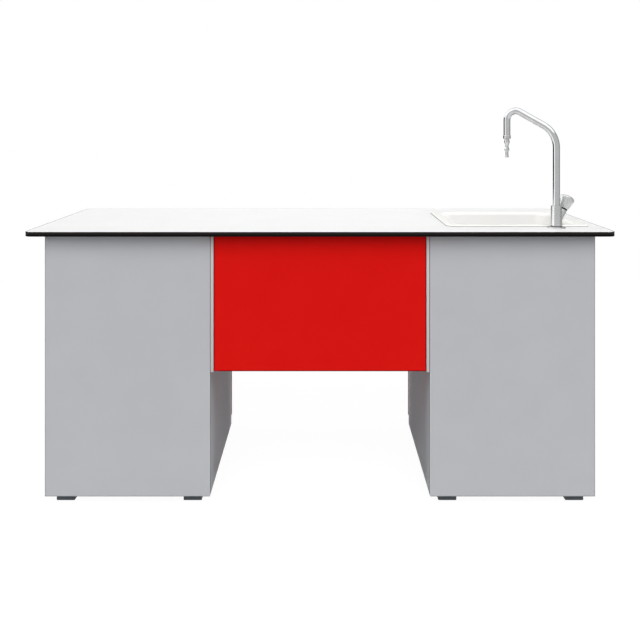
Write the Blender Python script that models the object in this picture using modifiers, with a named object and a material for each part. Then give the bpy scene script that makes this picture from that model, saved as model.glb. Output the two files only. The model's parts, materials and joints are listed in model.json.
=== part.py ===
"""Laboratory table: a demonstration desk with two cabinets, an inset sink and a swan-neck tap.

Metres, +Z up. The origin is on the floor under the middle of the whole desk.
-Y is the public side, which the red modesty panel faces; the user stands at +Y.
"""

import math

import bmesh
import bpy
from mathutils import Matrix, Vector

# Gap between pieces that touch
FIT = 0.0003

# Worktop: a thin solid board with a dark edge
WORK_HEIGHT = 0.845
TOP_LENGTH = 1.800
TOP_DEPTH = 0.750
TOP_THICKNESS = 0.014
TOP_CORNER_RADIUS = 0.025
TOP_CHAMFER = 0.0012
END_OVERHANG = 0.050
PUBLIC_OVERHANG = 0.050
USER_OVERHANG = 0.013

# Cabinets: boards of one thickness, standing on square feet
CABINET_WIDTH = 0.510
BOARD = 0.019
BOARD_CHAMFER = 0.0006
FOOT_SIZE = 0.057
FOOT_HEIGHT = 0.022
FOOT_INSET = 0.0286
FOOT_RECESS = 0.026
FOOT_CHAMFER = 0.0015
FLAT_RAIL_WIDTH = 0.080
EDGE_RAIL_HEIGHT = 0.075
PLINTH_RAIL_HEIGHT = 0.040
SHELF_HEIGHT = 0.350
SHELF_SETBACK = 0.030

# Doors and drawer front lie over the carcass edges
DOOR_THICKNESS = 0.019
DOOR_BOTTOM = 0.055
DOOR_TOP_GAP = 0.003
DOOR_REVEAL = 0.0015
DRAWER_FRONT_HEIGHT = 0.140
DRAWER_DOOR_GAP = 0.003

# Drawer box and its runners
DRAWER_LENGTH = 0.450
DRAWER_BOX_HEIGHT = 0.090
DRAWER_WALL = 0.012
DRAWER_FLOOR = 0.008
DRAWER_RAIL_CLEARANCE = 0.012
RUNNER_HEIGHT = 0.045
RUNNER_DEPTH = 0.0125
RUNNER_SHEET = 0.0012
RUNNER_LIP = 0.0065
RUNNER_PLAY = 0.0004

# Bow pulls
PULL_SPACING = 0.128
PULL_PROJECTION = 0.030
PULL_RADIUS = 0.005
PULL_BEND = 0.012
PULL_EDGE_INSET = 0.045
PULL_TOP_INSET = 0.140

# Butt hinges at the outer corners
HINGE_HEIGHT = 0.060
HINGE_KNUCKLES = 5
HINGE_KNUCKLE_RADIUS = 0.0035
HINGE_PIN_RADIUS = 0.0016
HINGE_SHEET = 0.0015
HINGE_FIXED_LEAF = 0.028
HINGE_DOOR_LEAF = 0.017
HINGE_CLEARANCE = 0.0004
HINGE_END_INSET = 0.095

# Modesty panel and the two folded strips that hold it
PANEL_SIDE_GAP = 0.0114
PANEL_HEIGHT = 0.420
PANEL_THICKNESS = 0.019
ANGLE_LEG = 0.040
ANGLE_SHEET = 0.0015
ANGLE_BEND = 0.0018

# Sink: a moulded bowl whose rim lies on the worktop
SINK_SIZE = 0.455
SINK_SIDE_CLEARANCE = 0.0013
SINK_RIM_HEIGHT = 0.005
SINK_RIM_WIDTH = 0.0245
SINK_RIM_CORNER = 0.028
SINK_ROLL = 0.012
SINK_BOWL_DEPTH = 0.200
SINK_DRAFT = 0.005
SINK_BOWL_CORNER = 0.045
SINK_FLOOR_FILLET = 0.030
SINK_FLOOR_CORNER = 0.015
SINK_FLOOR_FALL = 0.006
SINK_CUTOUT_CLEARANCE = 0.0010

# Waste and bottle trap under the bowl
WASTE_RADIUS = 0.0200
WASTE_BORE = 0.0172
WASTE_FLANGE_RADIUS = 0.0340
WASTE_FLANGE_HEIGHT = 0.0020
WASTE_FLANGE_CHAMFER = 0.0010
WASTE_TAIL = 0.045
WASTE_HOLE_CLEARANCE = 0.0010
WASTE_SLOTS = 6
WASTE_SLOT_RADIUS = 0.0032
WASTE_SLOT_CIRCLE = 0.0105
LOCKNUT_FLATS = 0.052
LOCKNUT_HEIGHT = 0.009
TRAP_NUT_RADIUS = 0.0265
TRAP_NUT_HEIGHT = 0.024
TRAP_NUT_CHAMFER = 0.002
TRAP_NECK = 0.026
TRAP_NECK_FLARE = 0.008
TRAP_RADIUS = 0.034
TRAP_SHOULDER = 0.005
TRAP_BODY_HEIGHT = 0.058
TRAP_CUP_RADIUS = 0.037
TRAP_CUP_HEIGHT = 0.046
TRAP_CUP_BAND = 0.026
TRAP_CUP_STEP = 0.006
TRAP_CUP_CHAMFER = 0.004
TRAP_OUTLET_RADIUS = 0.016
TRAP_OUTLET_DROP = 0.0203
TRAP_OUTLET_REACH = 0.100
TRAP_SOCKET_BORE = 0.0135
TRAP_SOCKET_DEPTH = 0.020
TRAP_LIP_RADIUS = 0.018
TRAP_LIP_BEVEL = 0.002

# Tap: heights are above the worktop, the deck hole lies between the sink and the public edge
TAP_SIDE_OFFSET = 0.112
TAP_RAIL_GAP = 0.0037
TAP_RIM_GAP = 0.0032
TAP_FLANGE_RADIUS = 0.0288
TAP_FLANGE_HEIGHT = 0.0045
TAP_FLANGE_CROWN = 0.0208
TAP_FLANGE_EDGE = 0.0020
TAP_BODY_RADIUS = 0.0170
TAP_BODY_TOP = 0.071
TAP_BODY_CHAMFER = 0.0012
TAP_BODY_BEAD = 0.0004
TAP_BODY_GROOVE = 0.0008
TAP_GROOVE_LOW = 0.0030
TAP_GROOVE_HIGH = 0.0056
TAP_SHANK_RADIUS = 0.0105
TAP_SHANK_LENGTH = 0.055
TAP_SHANK_CLEARANCE = 0.0008
TAP_HOLE_CLEARANCE = 0.0016
TAP_INLET_BORE = 0.006
TAP_INLET_DEPTH = 0.015
BACKNUT_FLATS = 0.036
BACKNUT_HEIGHT = 0.008

# Swan neck: a riser, a bend, a rising straight and a tight bend down to the outlet
SPOUT_RADIUS = 0.0111
SPOUT_SOCKET = 0.030
SPOUT_REACH = 0.166
SPOUT_CORNER_HEIGHT = 0.3006
SPOUT_SLOPE = math.radians(28.4)
SPOUT_RISER_BEND = 0.080
SPOUT_OUTLET_BEND = 0.030
SPOUT_OUTLET_HEIGHT = 0.2794
SPOUT_SWING = math.radians(35.0)
COLLAR_RADIUS = 0.0123
COLLAR_HEIGHT = 0.0115
COLLAR_CHAMFER = 0.0010
NOZZLE_TIP_RADIUS = 0.0052
NOZZLE_TIP_CHAMFER = 0.0015
NOZZLE_BORE = 0.0032
NOZZLE_BORE_DEPTH = 0.015
NOZZLE_PROFILE = (
    (0.0078, 0.0000), (0.0078, 0.0036), (0.0090, 0.0084), (0.0089, 0.0114), (0.0056, 0.0198),
    (0.0053, 0.0264), (0.0068, 0.0300), (0.0078, 0.0342), (0.0076, 0.0372), (0.0050, 0.0408),
    (0.0049, 0.0540), (0.0060, 0.0564), (0.0060, 0.0585),
)

# Inclined valve branch with its ribbed hand knob
VALVE_SWING = math.radians(35.0)
VALVE_RISE = math.radians(60.0)
VALVE_ROOT_HEIGHT = 0.0045
BRANCH_START = 0.020
BRANCH_ROOT_RADIUS = 0.0072
BRANCH_RADIUS = 0.0085
BONNET_RADIUS = 0.0113
BONNET_HEIGHT = 0.0085
BONNET_CHAMFER = 0.0010
RING_RADIUS = 0.0120
RING_HEIGHT = 0.0030
RING_CHAMFER = 0.0006
KNOB_BASE_RADIUS = 0.0155
KNOB_BASE_CHAMFER = 0.0010
KNOB_BODY_CLEARANCE = 0.0010
KNOB_TOP_RADIUS = 0.0250
KNOB_SKIRT = 0.034
KNOB_DOME = 0.011
KNOB_RIBS = 18
KNOB_RIB_CUT = 0.0026
KNOB_RIB_RISE = 0.0014
KNOB_RIB_LENGTH = 0.054
KNOB_STEM_RADIUS = 0.0055

# Places that follow from the sizes above
OVERALL_DEPTH = max(TOP_DEPTH, TOP_DEPTH - USER_OVERHANG + PULL_PROJECTION)
Y_TOP_FRONT = -OVERALL_DEPTH / 2
Y_TOP_REAR = Y_TOP_FRONT + TOP_DEPTH
Y_PUBLIC = Y_TOP_FRONT + PUBLIC_OVERHANG
Y_INSIDE = Y_PUBLIC + BOARD + FIT
Y_DOOR_FACE = Y_TOP_REAR - USER_OVERHANG
Y_DOOR_BACK = Y_DOOR_FACE - DOOR_THICKNESS
Y_CARCASS_REAR = Y_DOOR_BACK - FIT
X_OUTER = TOP_LENGTH / 2 - END_OVERHANG
X_INNER = X_OUTER - CABINET_WIDTH
Z_CARCASS = FOOT_HEIGHT + FIT
Z_CARCASS_TOP = WORK_HEIGHT - TOP_THICKNESS - FIT
Z_DOOR_TOP = WORK_HEIGHT - TOP_THICKNESS - DOOR_TOP_GAP
Z_DRAWER_BOTTOM = Z_DOOR_TOP - DRAWER_FRONT_HEIGHT
Z_DRY_DOOR_TOP = Z_DRAWER_BOTTOM - DRAWER_DOOR_GAP

# The bowl hangs just inside the cabinet's outer side, and the tap between the top rail and the rim
SINK_WALL = SINK_RIM_HEIGHT - FIT
SINK_THROAT_HALF = SINK_SIZE / 2 - SINK_RIM_WIDTH
SINK_BOWL_HALF = SINK_THROAT_HALF - SINK_ROLL
X_SINK = X_OUTER - BOARD - SINK_SIDE_CLEARANCE - SINK_WALL - SINK_BOWL_HALF
X_TAP = X_SINK + TAP_SIDE_OFFSET
Y_TAP = Y_INSIDE + BOARD + TAP_RAIL_GAP + BACKNUT_FLATS / 2
Y_SINK = Y_TAP + TAP_FLANGE_RADIUS + TAP_RIM_GAP + SINK_SIZE / 2
TAP_BASE = Vector((X_TAP, Y_TAP, WORK_HEIGHT))

# Along the valve's axis: the knob's rim just clears the tap body, and what carries it ends below
KNOB_BASE = (
    TAP_BODY_RADIUS + KNOB_BODY_CLEARANCE + KNOB_BASE_RADIUS * math.sin(VALVE_RISE)
) / math.cos(VALVE_RISE)
RING_LOW = KNOB_BASE - FIT - RING_HEIGHT
BRANCH_END = RING_LOW - FIT - BONNET_HEIGHT


def start_empty_scene():
    for old in list(bpy.data.objects):
        bpy.data.objects.remove(old, do_unlink=True)
    for name in ("laboratory_table", "cutters"):
        group = bpy.data.collections.get(name) or bpy.data.collections.new(name)
        if name not in bpy.context.scene.collection.children:
            bpy.context.scene.collection.children.link(group)


def linear(value):
    share = value / 255
    return share / 12.92 if share <= 0.04045 else ((share + 0.055) / 1.055) ** 2.4


def finish(name, red, green, blue, roughness, metallic=0.0):
    """A surface finish; red, green and blue are display values from 0 to 255."""
    material = bpy.data.materials.get(name) or bpy.data.materials.new(name)
    material.use_nodes = True
    shader = material.node_tree.nodes["Principled BSDF"]
    shader.inputs["Base Color"].default_value = (linear(red), linear(green), linear(blue), 1.0)
    shader.inputs["Roughness"].default_value = roughness
    shader.inputs["Metallic"].default_value = metallic
    return material


def place(name, mesh, material, origin=(0, 0, 0), parent=None):
    """Puts a mesh into the table's collection; origin is measured from the parent."""
    piece = bpy.data.objects.new(name, mesh)
    bpy.data.collections["laboratory_table"].objects.link(piece)
    piece.location = origin
    piece.parent = parent
    if material and not mesh.materials:
        mesh.materials.append(material)
    return piece


def pivot(name, place_at, turn=None):
    """An empty on a joint axis, which carries the pieces that move about it."""
    empty = bpy.data.objects.new(name, None)
    empty.empty_display_size = 0.03
    bpy.data.collections["laboratory_table"].objects.link(empty)
    empty.matrix_world = Matrix.Translation(place_at) @ (turn or Matrix.Identity(4))
    return empty


def hide_cutter(cutter):
    bpy.data.collections["laboratory_table"].objects.unlink(cutter)
    bpy.data.collections["cutters"].objects.link(cutter)
    cutter.hide_render = True
    cutter.display_type = "WIRE"


def boolean(piece, other, operation):
    step = piece.modifiers.new(operation.lower(), "BOOLEAN")
    step.operation = operation
    step.solver = "EXACT"
    step.object = other


def evaluated_mesh(piece):
    bpy.context.view_layer.update()
    graph = bpy.context.evaluated_depsgraph_get()
    return bpy.data.meshes.new_from_object(piece.evaluated_get(graph))


def fuse(piece, *others):
    """Joins solids into one closed body."""
    for other in others:
        boolean(piece, other, "UNION")
    joined = evaluated_mesh(piece)
    piece.modifiers.clear()
    piece.data = joined
    for other in others:
        bpy.data.objects.remove(other, do_unlink=True)
    return piece


def cut(piece, cutter):
    boolean(piece, cutter, "DIFFERENCE")
    hide_cutter(cutter)


def smooth(mesh, angle=35.0):
    mesh.shade_smooth()
    mesh.set_sharp_from_angle(angle=math.radians(angle))
    return mesh


def box_mesh(name, low, high, chamfer=0.0):
    """A box between two corners, with all its edges chamfered a little."""
    low = Vector(low)
    high = Vector(high)
    shape = bmesh.new()
    bmesh.ops.create_cube(shape, size=1.0)
    stretch = Matrix.Translation((high + low) / 2) @ Matrix.Diagonal((*(high - low), 1))
    bmesh.ops.transform(shape, matrix=stretch, verts=shape.verts)
    if chamfer:
        bmesh.ops.bevel(shape, geom=shape.edges, offset=chamfer, segments=1, affect="EDGES", profile=0.5)
    mesh = bpy.data.meshes.new(name)
    shape.to_mesh(mesh)
    shape.free()
    return mesh


def board(name, low, high, material, chamfer=BOARD_CHAMFER, origin=(0, 0, 0), parent=None):
    return place(name, box_mesh(name, low, high, chamfer), material, origin, parent)


def turned(name, profile, material, origin=(0, 0, 0), parent=None, sides=32, closed=False):
    """A turned piece about local Z; the profile is (radius, height), down its outer side."""
    mesh = bpy.data.meshes.new(name)
    count = len(profile)
    edges = [(i, i + 1) for i in range(count - 1)]
    if closed:
        edges.append((count - 1, 0))
    mesh.from_pydata([(radius, 0, height) for radius, height in profile], edges, [])
    piece = place(name, mesh, material, origin, parent)
    screw = piece.modifiers.new("turn", "SCREW")
    screw.axis = "Z"
    screw.angle = math.tau
    screw.steps = sides
    screw.render_steps = sides
    screw.use_merge_vertices = True
    screw.merge_threshold = 0.00001
    solid = evaluated_mesh(piece)
    piece.modifiers.clear()
    piece.data = smooth(solid)
    return piece


def circle(radius, sides, centre=(0.0, 0.0), phase=0.0):
    turn = math.tau / sides
    return [
        (centre[0] + radius * math.cos(phase + i * turn), centre[1] + radius * math.sin(phase + i * turn))
        for i in range(sides)
    ]


def hexagon(flats):
    """A hexagon whose flats face along Y."""
    return circle(flats / math.sqrt(3), 6)


def rounded_rectangle(half_x, half_y, radius, steps=6, centre=(0.0, 0.0)):
    points = []
    corners = ((1, 1), (-1, 1), (-1, -1), (1, -1))
    for quarter, (sign_x, sign_y) in enumerate(corners):
        for step in range(steps + 1):
            angle = math.pi / 2 * (quarter + step / steps)
            x = centre[0] + sign_x * (half_x - radius) + radius * math.cos(angle)
            y = centre[1] + sign_y * (half_y - radius) + radius * math.sin(angle)
            points.append((x, y))
    return points


def outline(name, loops, thickness, material, turn=None, parent=None, origin=(0, 0, 0)):
    """A flat outline with holes, extruded from local z = 0 to its thickness."""
    curve = bpy.data.curves.new(name, "CURVE")
    curve.dimensions = "2D"
    curve.fill_mode = "BOTH"
    curve.extrude = thickness / 2
    for loop in loops:
        spline = curve.splines.new("POLY")
        spline.points.add(len(loop) - 1)
        for point, (x, y) in zip(spline.points, loop):
            point.co = (x, y, 0, 1)
        spline.use_cyclic_u = True
    drawn = place(name, curve, None)
    mesh = evaluated_mesh(drawn)
    bpy.data.objects.remove(drawn, do_unlink=True)
    shape = bmesh.new()
    shape.from_mesh(mesh)
    bmesh.ops.remove_doubles(shape, verts=shape.verts, dist=0.00001)
    move = (turn or Matrix.Identity(4)) @ Matrix.Translation((0, 0, thickness / 2))
    bmesh.ops.transform(shape, matrix=move, verts=shape.verts)
    bmesh.ops.recalc_face_normals(shape, faces=shape.faces)
    shape.to_mesh(mesh)
    shape.free()
    mesh.materials.clear()
    return place(name, mesh, material, origin, parent)


def rounded_path(corners, radii, steps):
    """Points along a bent tube: straight runs, with an arc of the given radius at each corner."""
    points = [Vector(corners[0])]
    for i, radius in enumerate(radii, start=1):
        corner = Vector(corners[i])
        if radius == 0:
            points.append(corner)
            continue
        before = (Vector(corners[i - 1]) - corner).normalized()
        after = (Vector(corners[i + 1]) - corner).normalized()
        half = before.angle(after) / 2
        middle = corner + (before + after).normalized() * radius / math.sin(half)
        start = corner + before * radius / math.tan(half) - middle
        end = corner + after * radius / math.tan(half) - middle
        turn = start.angle(end)
        axis = start.cross(end).normalized()
        count = max(3, round(steps * turn / (math.pi / 2)))
        points += [middle + Matrix.Rotation(turn * k / count, 3, axis) @ start for k in range(count + 1)]
    points.append(Vector(corners[-1]))
    return points


def tube(name, points, radius, material, parent=None, origin=(0, 0, 0), resolution=4):
    """A round bar along points, as a closed mesh."""
    curve = bpy.data.curves.new(name, "CURVE")
    curve.dimensions = "3D"
    curve.bevel_depth = radius
    curve.bevel_resolution = resolution
    curve.use_fill_caps = True
    spline = curve.splines.new("POLY")
    spline.points.add(len(points) - 1)
    for node, point in zip(spline.points, points):
        node.co = (*point, 1)
    drawn = place(name, curve, None)
    mesh = evaluated_mesh(drawn)
    bpy.data.objects.remove(drawn, do_unlink=True)
    shape = bmesh.new()
    shape.from_mesh(mesh)
    bmesh.ops.remove_doubles(shape, verts=shape.verts, dist=0.00001)
    bmesh.ops.recalc_face_normals(shape, faces=shape.faces)
    shape.to_mesh(mesh)
    shape.free()
    mesh.materials.clear()
    return place(name, smooth(mesh), material, origin, parent)


def make_worktop():
    """One board with rounded corners, a cut-out for the sink and a hole for the tap's shank."""
    half = SINK_THROAT_HALF + SINK_CUTOUT_CLEARANCE
    cutout = rounded_rectangle(half, half, SINK_BOWL_CORNER + SINK_ROLL, centre=(X_SINK, Y_SINK))
    hole = circle(TAP_SHANK_RADIUS + TAP_HOLE_CLEARANCE, 24, (X_TAP, Y_TAP))
    middle = (0, (Y_TOP_FRONT + Y_TOP_REAR) / 2)
    edge = rounded_rectangle(TOP_LENGTH / 2, TOP_DEPTH / 2, TOP_CORNER_RADIUS, centre=middle)
    laminate = finish("white_laminate", 247, 247, 248, 0.35)
    origin = (0, 0, WORK_HEIGHT - TOP_THICKNESS)
    top = outline("worktop", [edge, cutout, hole], TOP_THICKNESS, laminate, origin=origin)
    chamfer = top.modifiers.new("chamfer", "BEVEL")
    chamfer.width = TOP_CHAMFER
    chamfer.segments = 1
    chamfer.limit_method = "ANGLE"
    chamfer.angle_limit = math.radians(60)


def make_feet(cabinet, x_low, x_high):
    slate = finish("slate_plastic", 70, 73, 79, 0.55)
    rows = (("public", Y_PUBLIC + FOOT_RECESS), ("user", Y_CARCASS_REAR - FOOT_RECESS - FOOT_SIZE))
    columns = (("left", x_low + FOOT_INSET), ("right", x_high - FOOT_INSET - FOOT_SIZE))
    for row, y in rows:
        for column, x in columns:
            high = (x + FOOT_SIZE, y + FOOT_SIZE, FOOT_HEIGHT)
            board(f"{cabinet}_foot_{row}_{column}", (x, y, 0), high, slate, FOOT_CHAMFER)


def make_carcass(cabinet, x_low, x_high):
    """What both cabinets share: two sides, the bottom, the public panel and the plinth rail."""
    grey = finish("grey_laminate", 181, 183, 187, 0.45)
    names = ("outer_side", "inner_side") if x_low < 0 else ("inner_side", "outer_side")
    for name, x in zip(names, (x_low, x_high - BOARD)):
        high = (x + BOARD, Y_CARCASS_REAR, Z_CARCASS_TOP)
        board(f"{cabinet}_{name}", (x, Y_INSIDE, Z_CARCASS), high, grey)
    high = (x_high, Y_PUBLIC + BOARD, Z_CARCASS_TOP)
    board(f"{cabinet}_public_panel", (x_low, Y_PUBLIC, Z_CARCASS), high, grey)
    inside_low = x_low + BOARD + FIT
    inside_high = x_high - BOARD - FIT
    y_plinth = Y_CARCASS_REAR - BOARD
    high = (inside_high, y_plinth - FIT, Z_CARCASS + BOARD)
    board(f"{cabinet}_bottom", (inside_low, Y_INSIDE, Z_CARCASS), high, grey)
    high = (inside_high, Y_CARCASS_REAR, Z_CARCASS + PLINTH_RAIL_HEIGHT)
    board(f"{cabinet}_plinth_rail", (inside_low, y_plinth, Z_CARCASS), high, grey)
    return inside_low, inside_high, grey


def make_dry_rails(inside_low, inside_high, grey):
    """Flat rails under the worktop, and one between the drawer and the door."""
    z_low = Z_CARCASS_TOP - BOARD
    y_rear = Y_CARCASS_REAR - FLAT_RAIL_WIDTH
    high = (inside_high, Y_INSIDE + FLAT_RAIL_WIDTH, Z_CARCASS_TOP)
    board("dry_top_rail_public", (inside_low, Y_INSIDE, z_low), high, grey)
    high = (inside_high, Y_CARCASS_REAR, Z_CARCASS_TOP)
    board("dry_top_rail_user", (inside_low, y_rear, z_low), high, grey)
    z_gap = (Z_DRAWER_BOTTOM + Z_DRY_DOOR_TOP) / 2
    high = (inside_high, Y_CARCASS_REAR, z_gap + BOARD / 2)
    board("dry_divider_rail", (inside_low, y_rear, z_gap - BOARD / 2), high, grey)
    high = (inside_high, Y_CARCASS_REAR - SHELF_SETBACK, SHELF_HEIGHT + BOARD)
    board("dry_shelf", (inside_low, Y_INSIDE, SHELF_HEIGHT), high, grey)
    return z_gap + BOARD / 2


def make_wet_rails(inside_low, inside_high, grey):
    """Rails on edge, which leave the bowl and the tap's shank free."""
    z_low = Z_CARCASS_TOP - EDGE_RAIL_HEIGHT
    high = (inside_high, Y_INSIDE + BOARD, Z_CARCASS_TOP)
    board("wet_top_rail_public", (inside_low, Y_INSIDE, z_low), high, grey)
    y_rear = Y_CARCASS_REAR - BOARD
    high = (inside_high, Y_CARCASS_REAR, Z_CARCASS_TOP)
    board("wet_top_rail_user", (inside_low, y_rear, z_low), high, grey)


def make_modesty_panel():
    """The red panel between the cabinets, and a folded strip that closes the gap at each end of it.

    The strip's front is flush with the panel. One leg runs along the cabinet, the other behind the panel.
    """
    red = finish("red_laminate", 208, 21, 20, 0.45)
    half = X_INNER - PANEL_SIDE_GAP
    z_low = Z_CARCASS_TOP - PANEL_HEIGHT
    y_back = Y_PUBLIC + PANEL_THICKNESS
    board("modesty_panel", (-half, Y_PUBLIC, z_low), (half, y_back, Z_CARCASS_TOP), red)
    sheet = finish("light_grey_steel", 192, 190, 188, 0.4)
    strip = PANEL_SIDE_GAP - 2 * FIT
    hem = strip - ANGLE_SHEET
    back = PANEL_THICKNESS + FIT
    folds = [
        (0, back + ANGLE_LEG, 0), (0, 0, 0), (strip, 0, 0), (strip, back, 0), (ANGLE_LEG, back, 0),
        (ANGLE_LEG, back + ANGLE_SHEET, 0), (hem, back + ANGLE_SHEET, 0), (hem, ANGLE_SHEET, 0),
        (ANGLE_SHEET, ANGLE_SHEET, 0), (ANGLE_SHEET, back + ANGLE_LEG, 0),
    ]
    radii = (ANGLE_BEND, ANGLE_BEND, 0, 0, 0, ANGLE_BEND, 0, 0)
    legs = rounded_path(folds, radii, 3)
    for side, sign in (("left", -1), ("right", 1)):
        section = [(-sign * point.x, point.y) for point in legs]
        origin = (sign * (X_INNER - FIT), Y_PUBLIC, z_low)
        outline(f"panel_angle_{side}", [section], PANEL_HEIGHT, sheet, origin=origin)


def sink_ring(half, corner, height):
    return [Vector((x, y, height)) for x, y in rounded_rectangle(half, half, corner)]


def make_sink():
    """An open sheet lofted from ring to ring down the bowl, thickened into a moulded shell."""
    bowl_low = SINK_BOWL_HALF - SINK_DRAFT
    floor_height = SINK_RIM_HEIGHT - SINK_BOWL_DEPTH
    drain = WASTE_RADIUS + WASTE_HOLE_CLEARANCE
    seat = WASTE_FLANGE_RADIUS + WASTE_HOLE_CLEARANCE
    rings = [sink_ring(SINK_SIZE / 2, SINK_RIM_CORNER, SINK_RIM_HEIGHT)]
    arc_steps = 4
    for step in range(arc_steps + 1):
        angle = math.pi / 2 * step / arc_steps
        half = SINK_THROAT_HALF - SINK_ROLL * math.sin(angle)
        height = SINK_RIM_HEIGHT - SINK_ROLL * (1 - math.cos(angle))
        rings.append(sink_ring(half, SINK_BOWL_CORNER + half - SINK_BOWL_HALF, height))
    for step in range(arc_steps + 1):
        angle = math.pi / 2 * step / arc_steps
        inset = SINK_FLOOR_FILLET * (1 - math.cos(angle))
        height = floor_height + SINK_FLOOR_FILLET * (1 - math.sin(angle))
        corner = max(SINK_BOWL_CORNER - inset, SINK_FLOOR_CORNER)
        rings.append(sink_ring(bowl_low - inset, corner, height))
    rings.append(sink_ring(seat, seat, floor_height - SINK_FLOOR_FALL))
    rings.append(sink_ring(drain, drain, floor_height - SINK_FLOOR_FALL))
    shape = bmesh.new()
    loops = [[shape.verts.new(point) for point in ring] for ring in rings]
    count = len(loops[0])
    for upper, lower in zip(loops, loops[1:]):
        for i in range(count):
            k = (i + 1) % count
            shape.faces.new((upper[i], upper[k], lower[k], lower[i]))
    mesh = bpy.data.meshes.new("sink")
    shape.to_mesh(mesh)
    shape.free()
    cream = finish("cream_polypropylene", 240, 239, 235, 0.3)
    sink = place("sink", smooth(mesh, 50), cream, (X_SINK, Y_SINK, WORK_HEIGHT))
    shell = sink.modifiers.new("wall", "SOLIDIFY")
    shell.thickness = SINK_WALL
    shell.offset = -1.0
    shell.use_even_offset = True
    return WORK_HEIGHT + floor_height - SINK_FLOOR_FALL


def make_waste(z_seat):
    """Grid waste, its locknut, the union nut and a bottle trap with a cleaning cup."""
    steel = finish("brushed_steel", 186, 187, 186, 0.3, 1.0)
    plastic = finish("white_plastic", 232, 232, 230, 0.4)
    axis = (X_SINK, Y_SINK, z_seat + FIT)
    grid = WASTE_FLANGE_HEIGHT
    waste = turned("sink_waste", [
        (0, grid), (WASTE_FLANGE_RADIUS - WASTE_FLANGE_CHAMFER, grid),
        (WASTE_FLANGE_RADIUS, grid - WASTE_FLANGE_CHAMFER), (WASTE_FLANGE_RADIUS, 0),
        (WASTE_RADIUS, 0), (WASTE_RADIUS, -WASTE_TAIL), (WASTE_BORE, -WASTE_TAIL),
        (WASTE_BORE, -grid), (0, -grid),
    ], steel, axis)
    slots = bmesh.new()
    for x, y in [(0.0, 0.0)] + circle(WASTE_SLOT_CIRCLE, WASTE_SLOTS):
        move = Matrix.Translation((x, y, 0))
        bmesh.ops.create_cone(slots, cap_ends=True, segments=12, radius1=WASTE_SLOT_RADIUS,
                              radius2=WASTE_SLOT_RADIUS, depth=4 * grid, matrix=move)
    mesh = bpy.data.meshes.new("waste_slots")
    slots.to_mesh(mesh)
    slots.free()
    cut(waste, place("waste_slots", mesh, None, axis))

    z_under = z_seat - SINK_WALL
    bore = circle(WASTE_RADIUS + FIT, 32)
    origin = (X_SINK, Y_SINK, z_under - FIT - LOCKNUT_HEIGHT)
    outline("waste_locknut", [hexagon(LOCKNUT_FLATS), bore], LOCKNUT_HEIGHT, plastic, origin=origin)

    z_joint = axis[2] - WASTE_TAIL - FIT
    nut_low = -TRAP_NUT_HEIGHT / 2
    nut_high = TRAP_NUT_HEIGHT / 2
    nut_bore = WASTE_RADIUS + FIT
    turned("trap_union_nut", [
        (nut_bore, nut_high), (TRAP_NUT_RADIUS - TRAP_NUT_CHAMFER, nut_high),
        (TRAP_NUT_RADIUS, nut_high - TRAP_NUT_CHAMFER), (TRAP_NUT_RADIUS, nut_low), (nut_bore, nut_low),
    ], plastic, (X_SINK, Y_SINK, z_joint), closed=True, sides=24)

    shoulder = -TRAP_NECK
    foot = shoulder - TRAP_BODY_HEIGHT
    trap = turned("trap_body", [
        (0, 0), (WASTE_RADIUS, 0), (WASTE_RADIUS, shoulder + TRAP_NECK_FLARE),
        (TRAP_RADIUS - TRAP_SHOULDER, shoulder), (TRAP_RADIUS, shoulder - TRAP_SHOULDER),
        (TRAP_RADIUS, foot), (0, foot),
    ], plastic, (X_SINK, Y_SINK, z_joint))
    z_outlet = z_joint + shoulder - TRAP_OUTLET_DROP
    reach = TRAP_OUTLET_REACH
    socket_end = TRAP_OUTLET_REACH - TRAP_SOCKET_DEPTH
    outlet = turned("trap_outlet", [
        (0, socket_end), (TRAP_SOCKET_BORE, socket_end), (TRAP_SOCKET_BORE, reach), (TRAP_LIP_RADIUS, reach),
        (TRAP_LIP_RADIUS, socket_end + TRAP_LIP_BEVEL), (TRAP_OUTLET_RADIUS, socket_end),
        (TRAP_OUTLET_RADIUS, TRAP_RADIUS / 2), (0, TRAP_RADIUS / 2),
    ], plastic, (X_SINK, Y_SINK, z_outlet), sides=24)
    outlet.rotation_euler = (math.radians(90), 0, 0)
    fuse(trap, outlet)
    smooth(trap.data)
    narrow = TRAP_CUP_RADIUS - TRAP_CUP_STEP
    turned("trap_cup", [
        (0, 0), (TRAP_CUP_RADIUS, 0), (TRAP_CUP_RADIUS, -TRAP_CUP_BAND),
        (narrow, -TRAP_CUP_BAND - TRAP_CUP_STEP), (narrow, TRAP_CUP_CHAMFER - TRAP_CUP_HEIGHT),
        (narrow - TRAP_CUP_CHAMFER, -TRAP_CUP_HEIGHT), (0, -TRAP_CUP_HEIGHT),
    ], plastic, (X_SINK, Y_SINK, z_joint + foot - FIT))


def valve_turn():
    """Turns local Z onto the valve's axis: up from the deck and away from the public side."""
    return Matrix.Rotation(VALVE_SWING, 4, "Z") @ Matrix.Rotation(math.pi / 2 - VALVE_RISE, 4, "Y")


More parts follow.
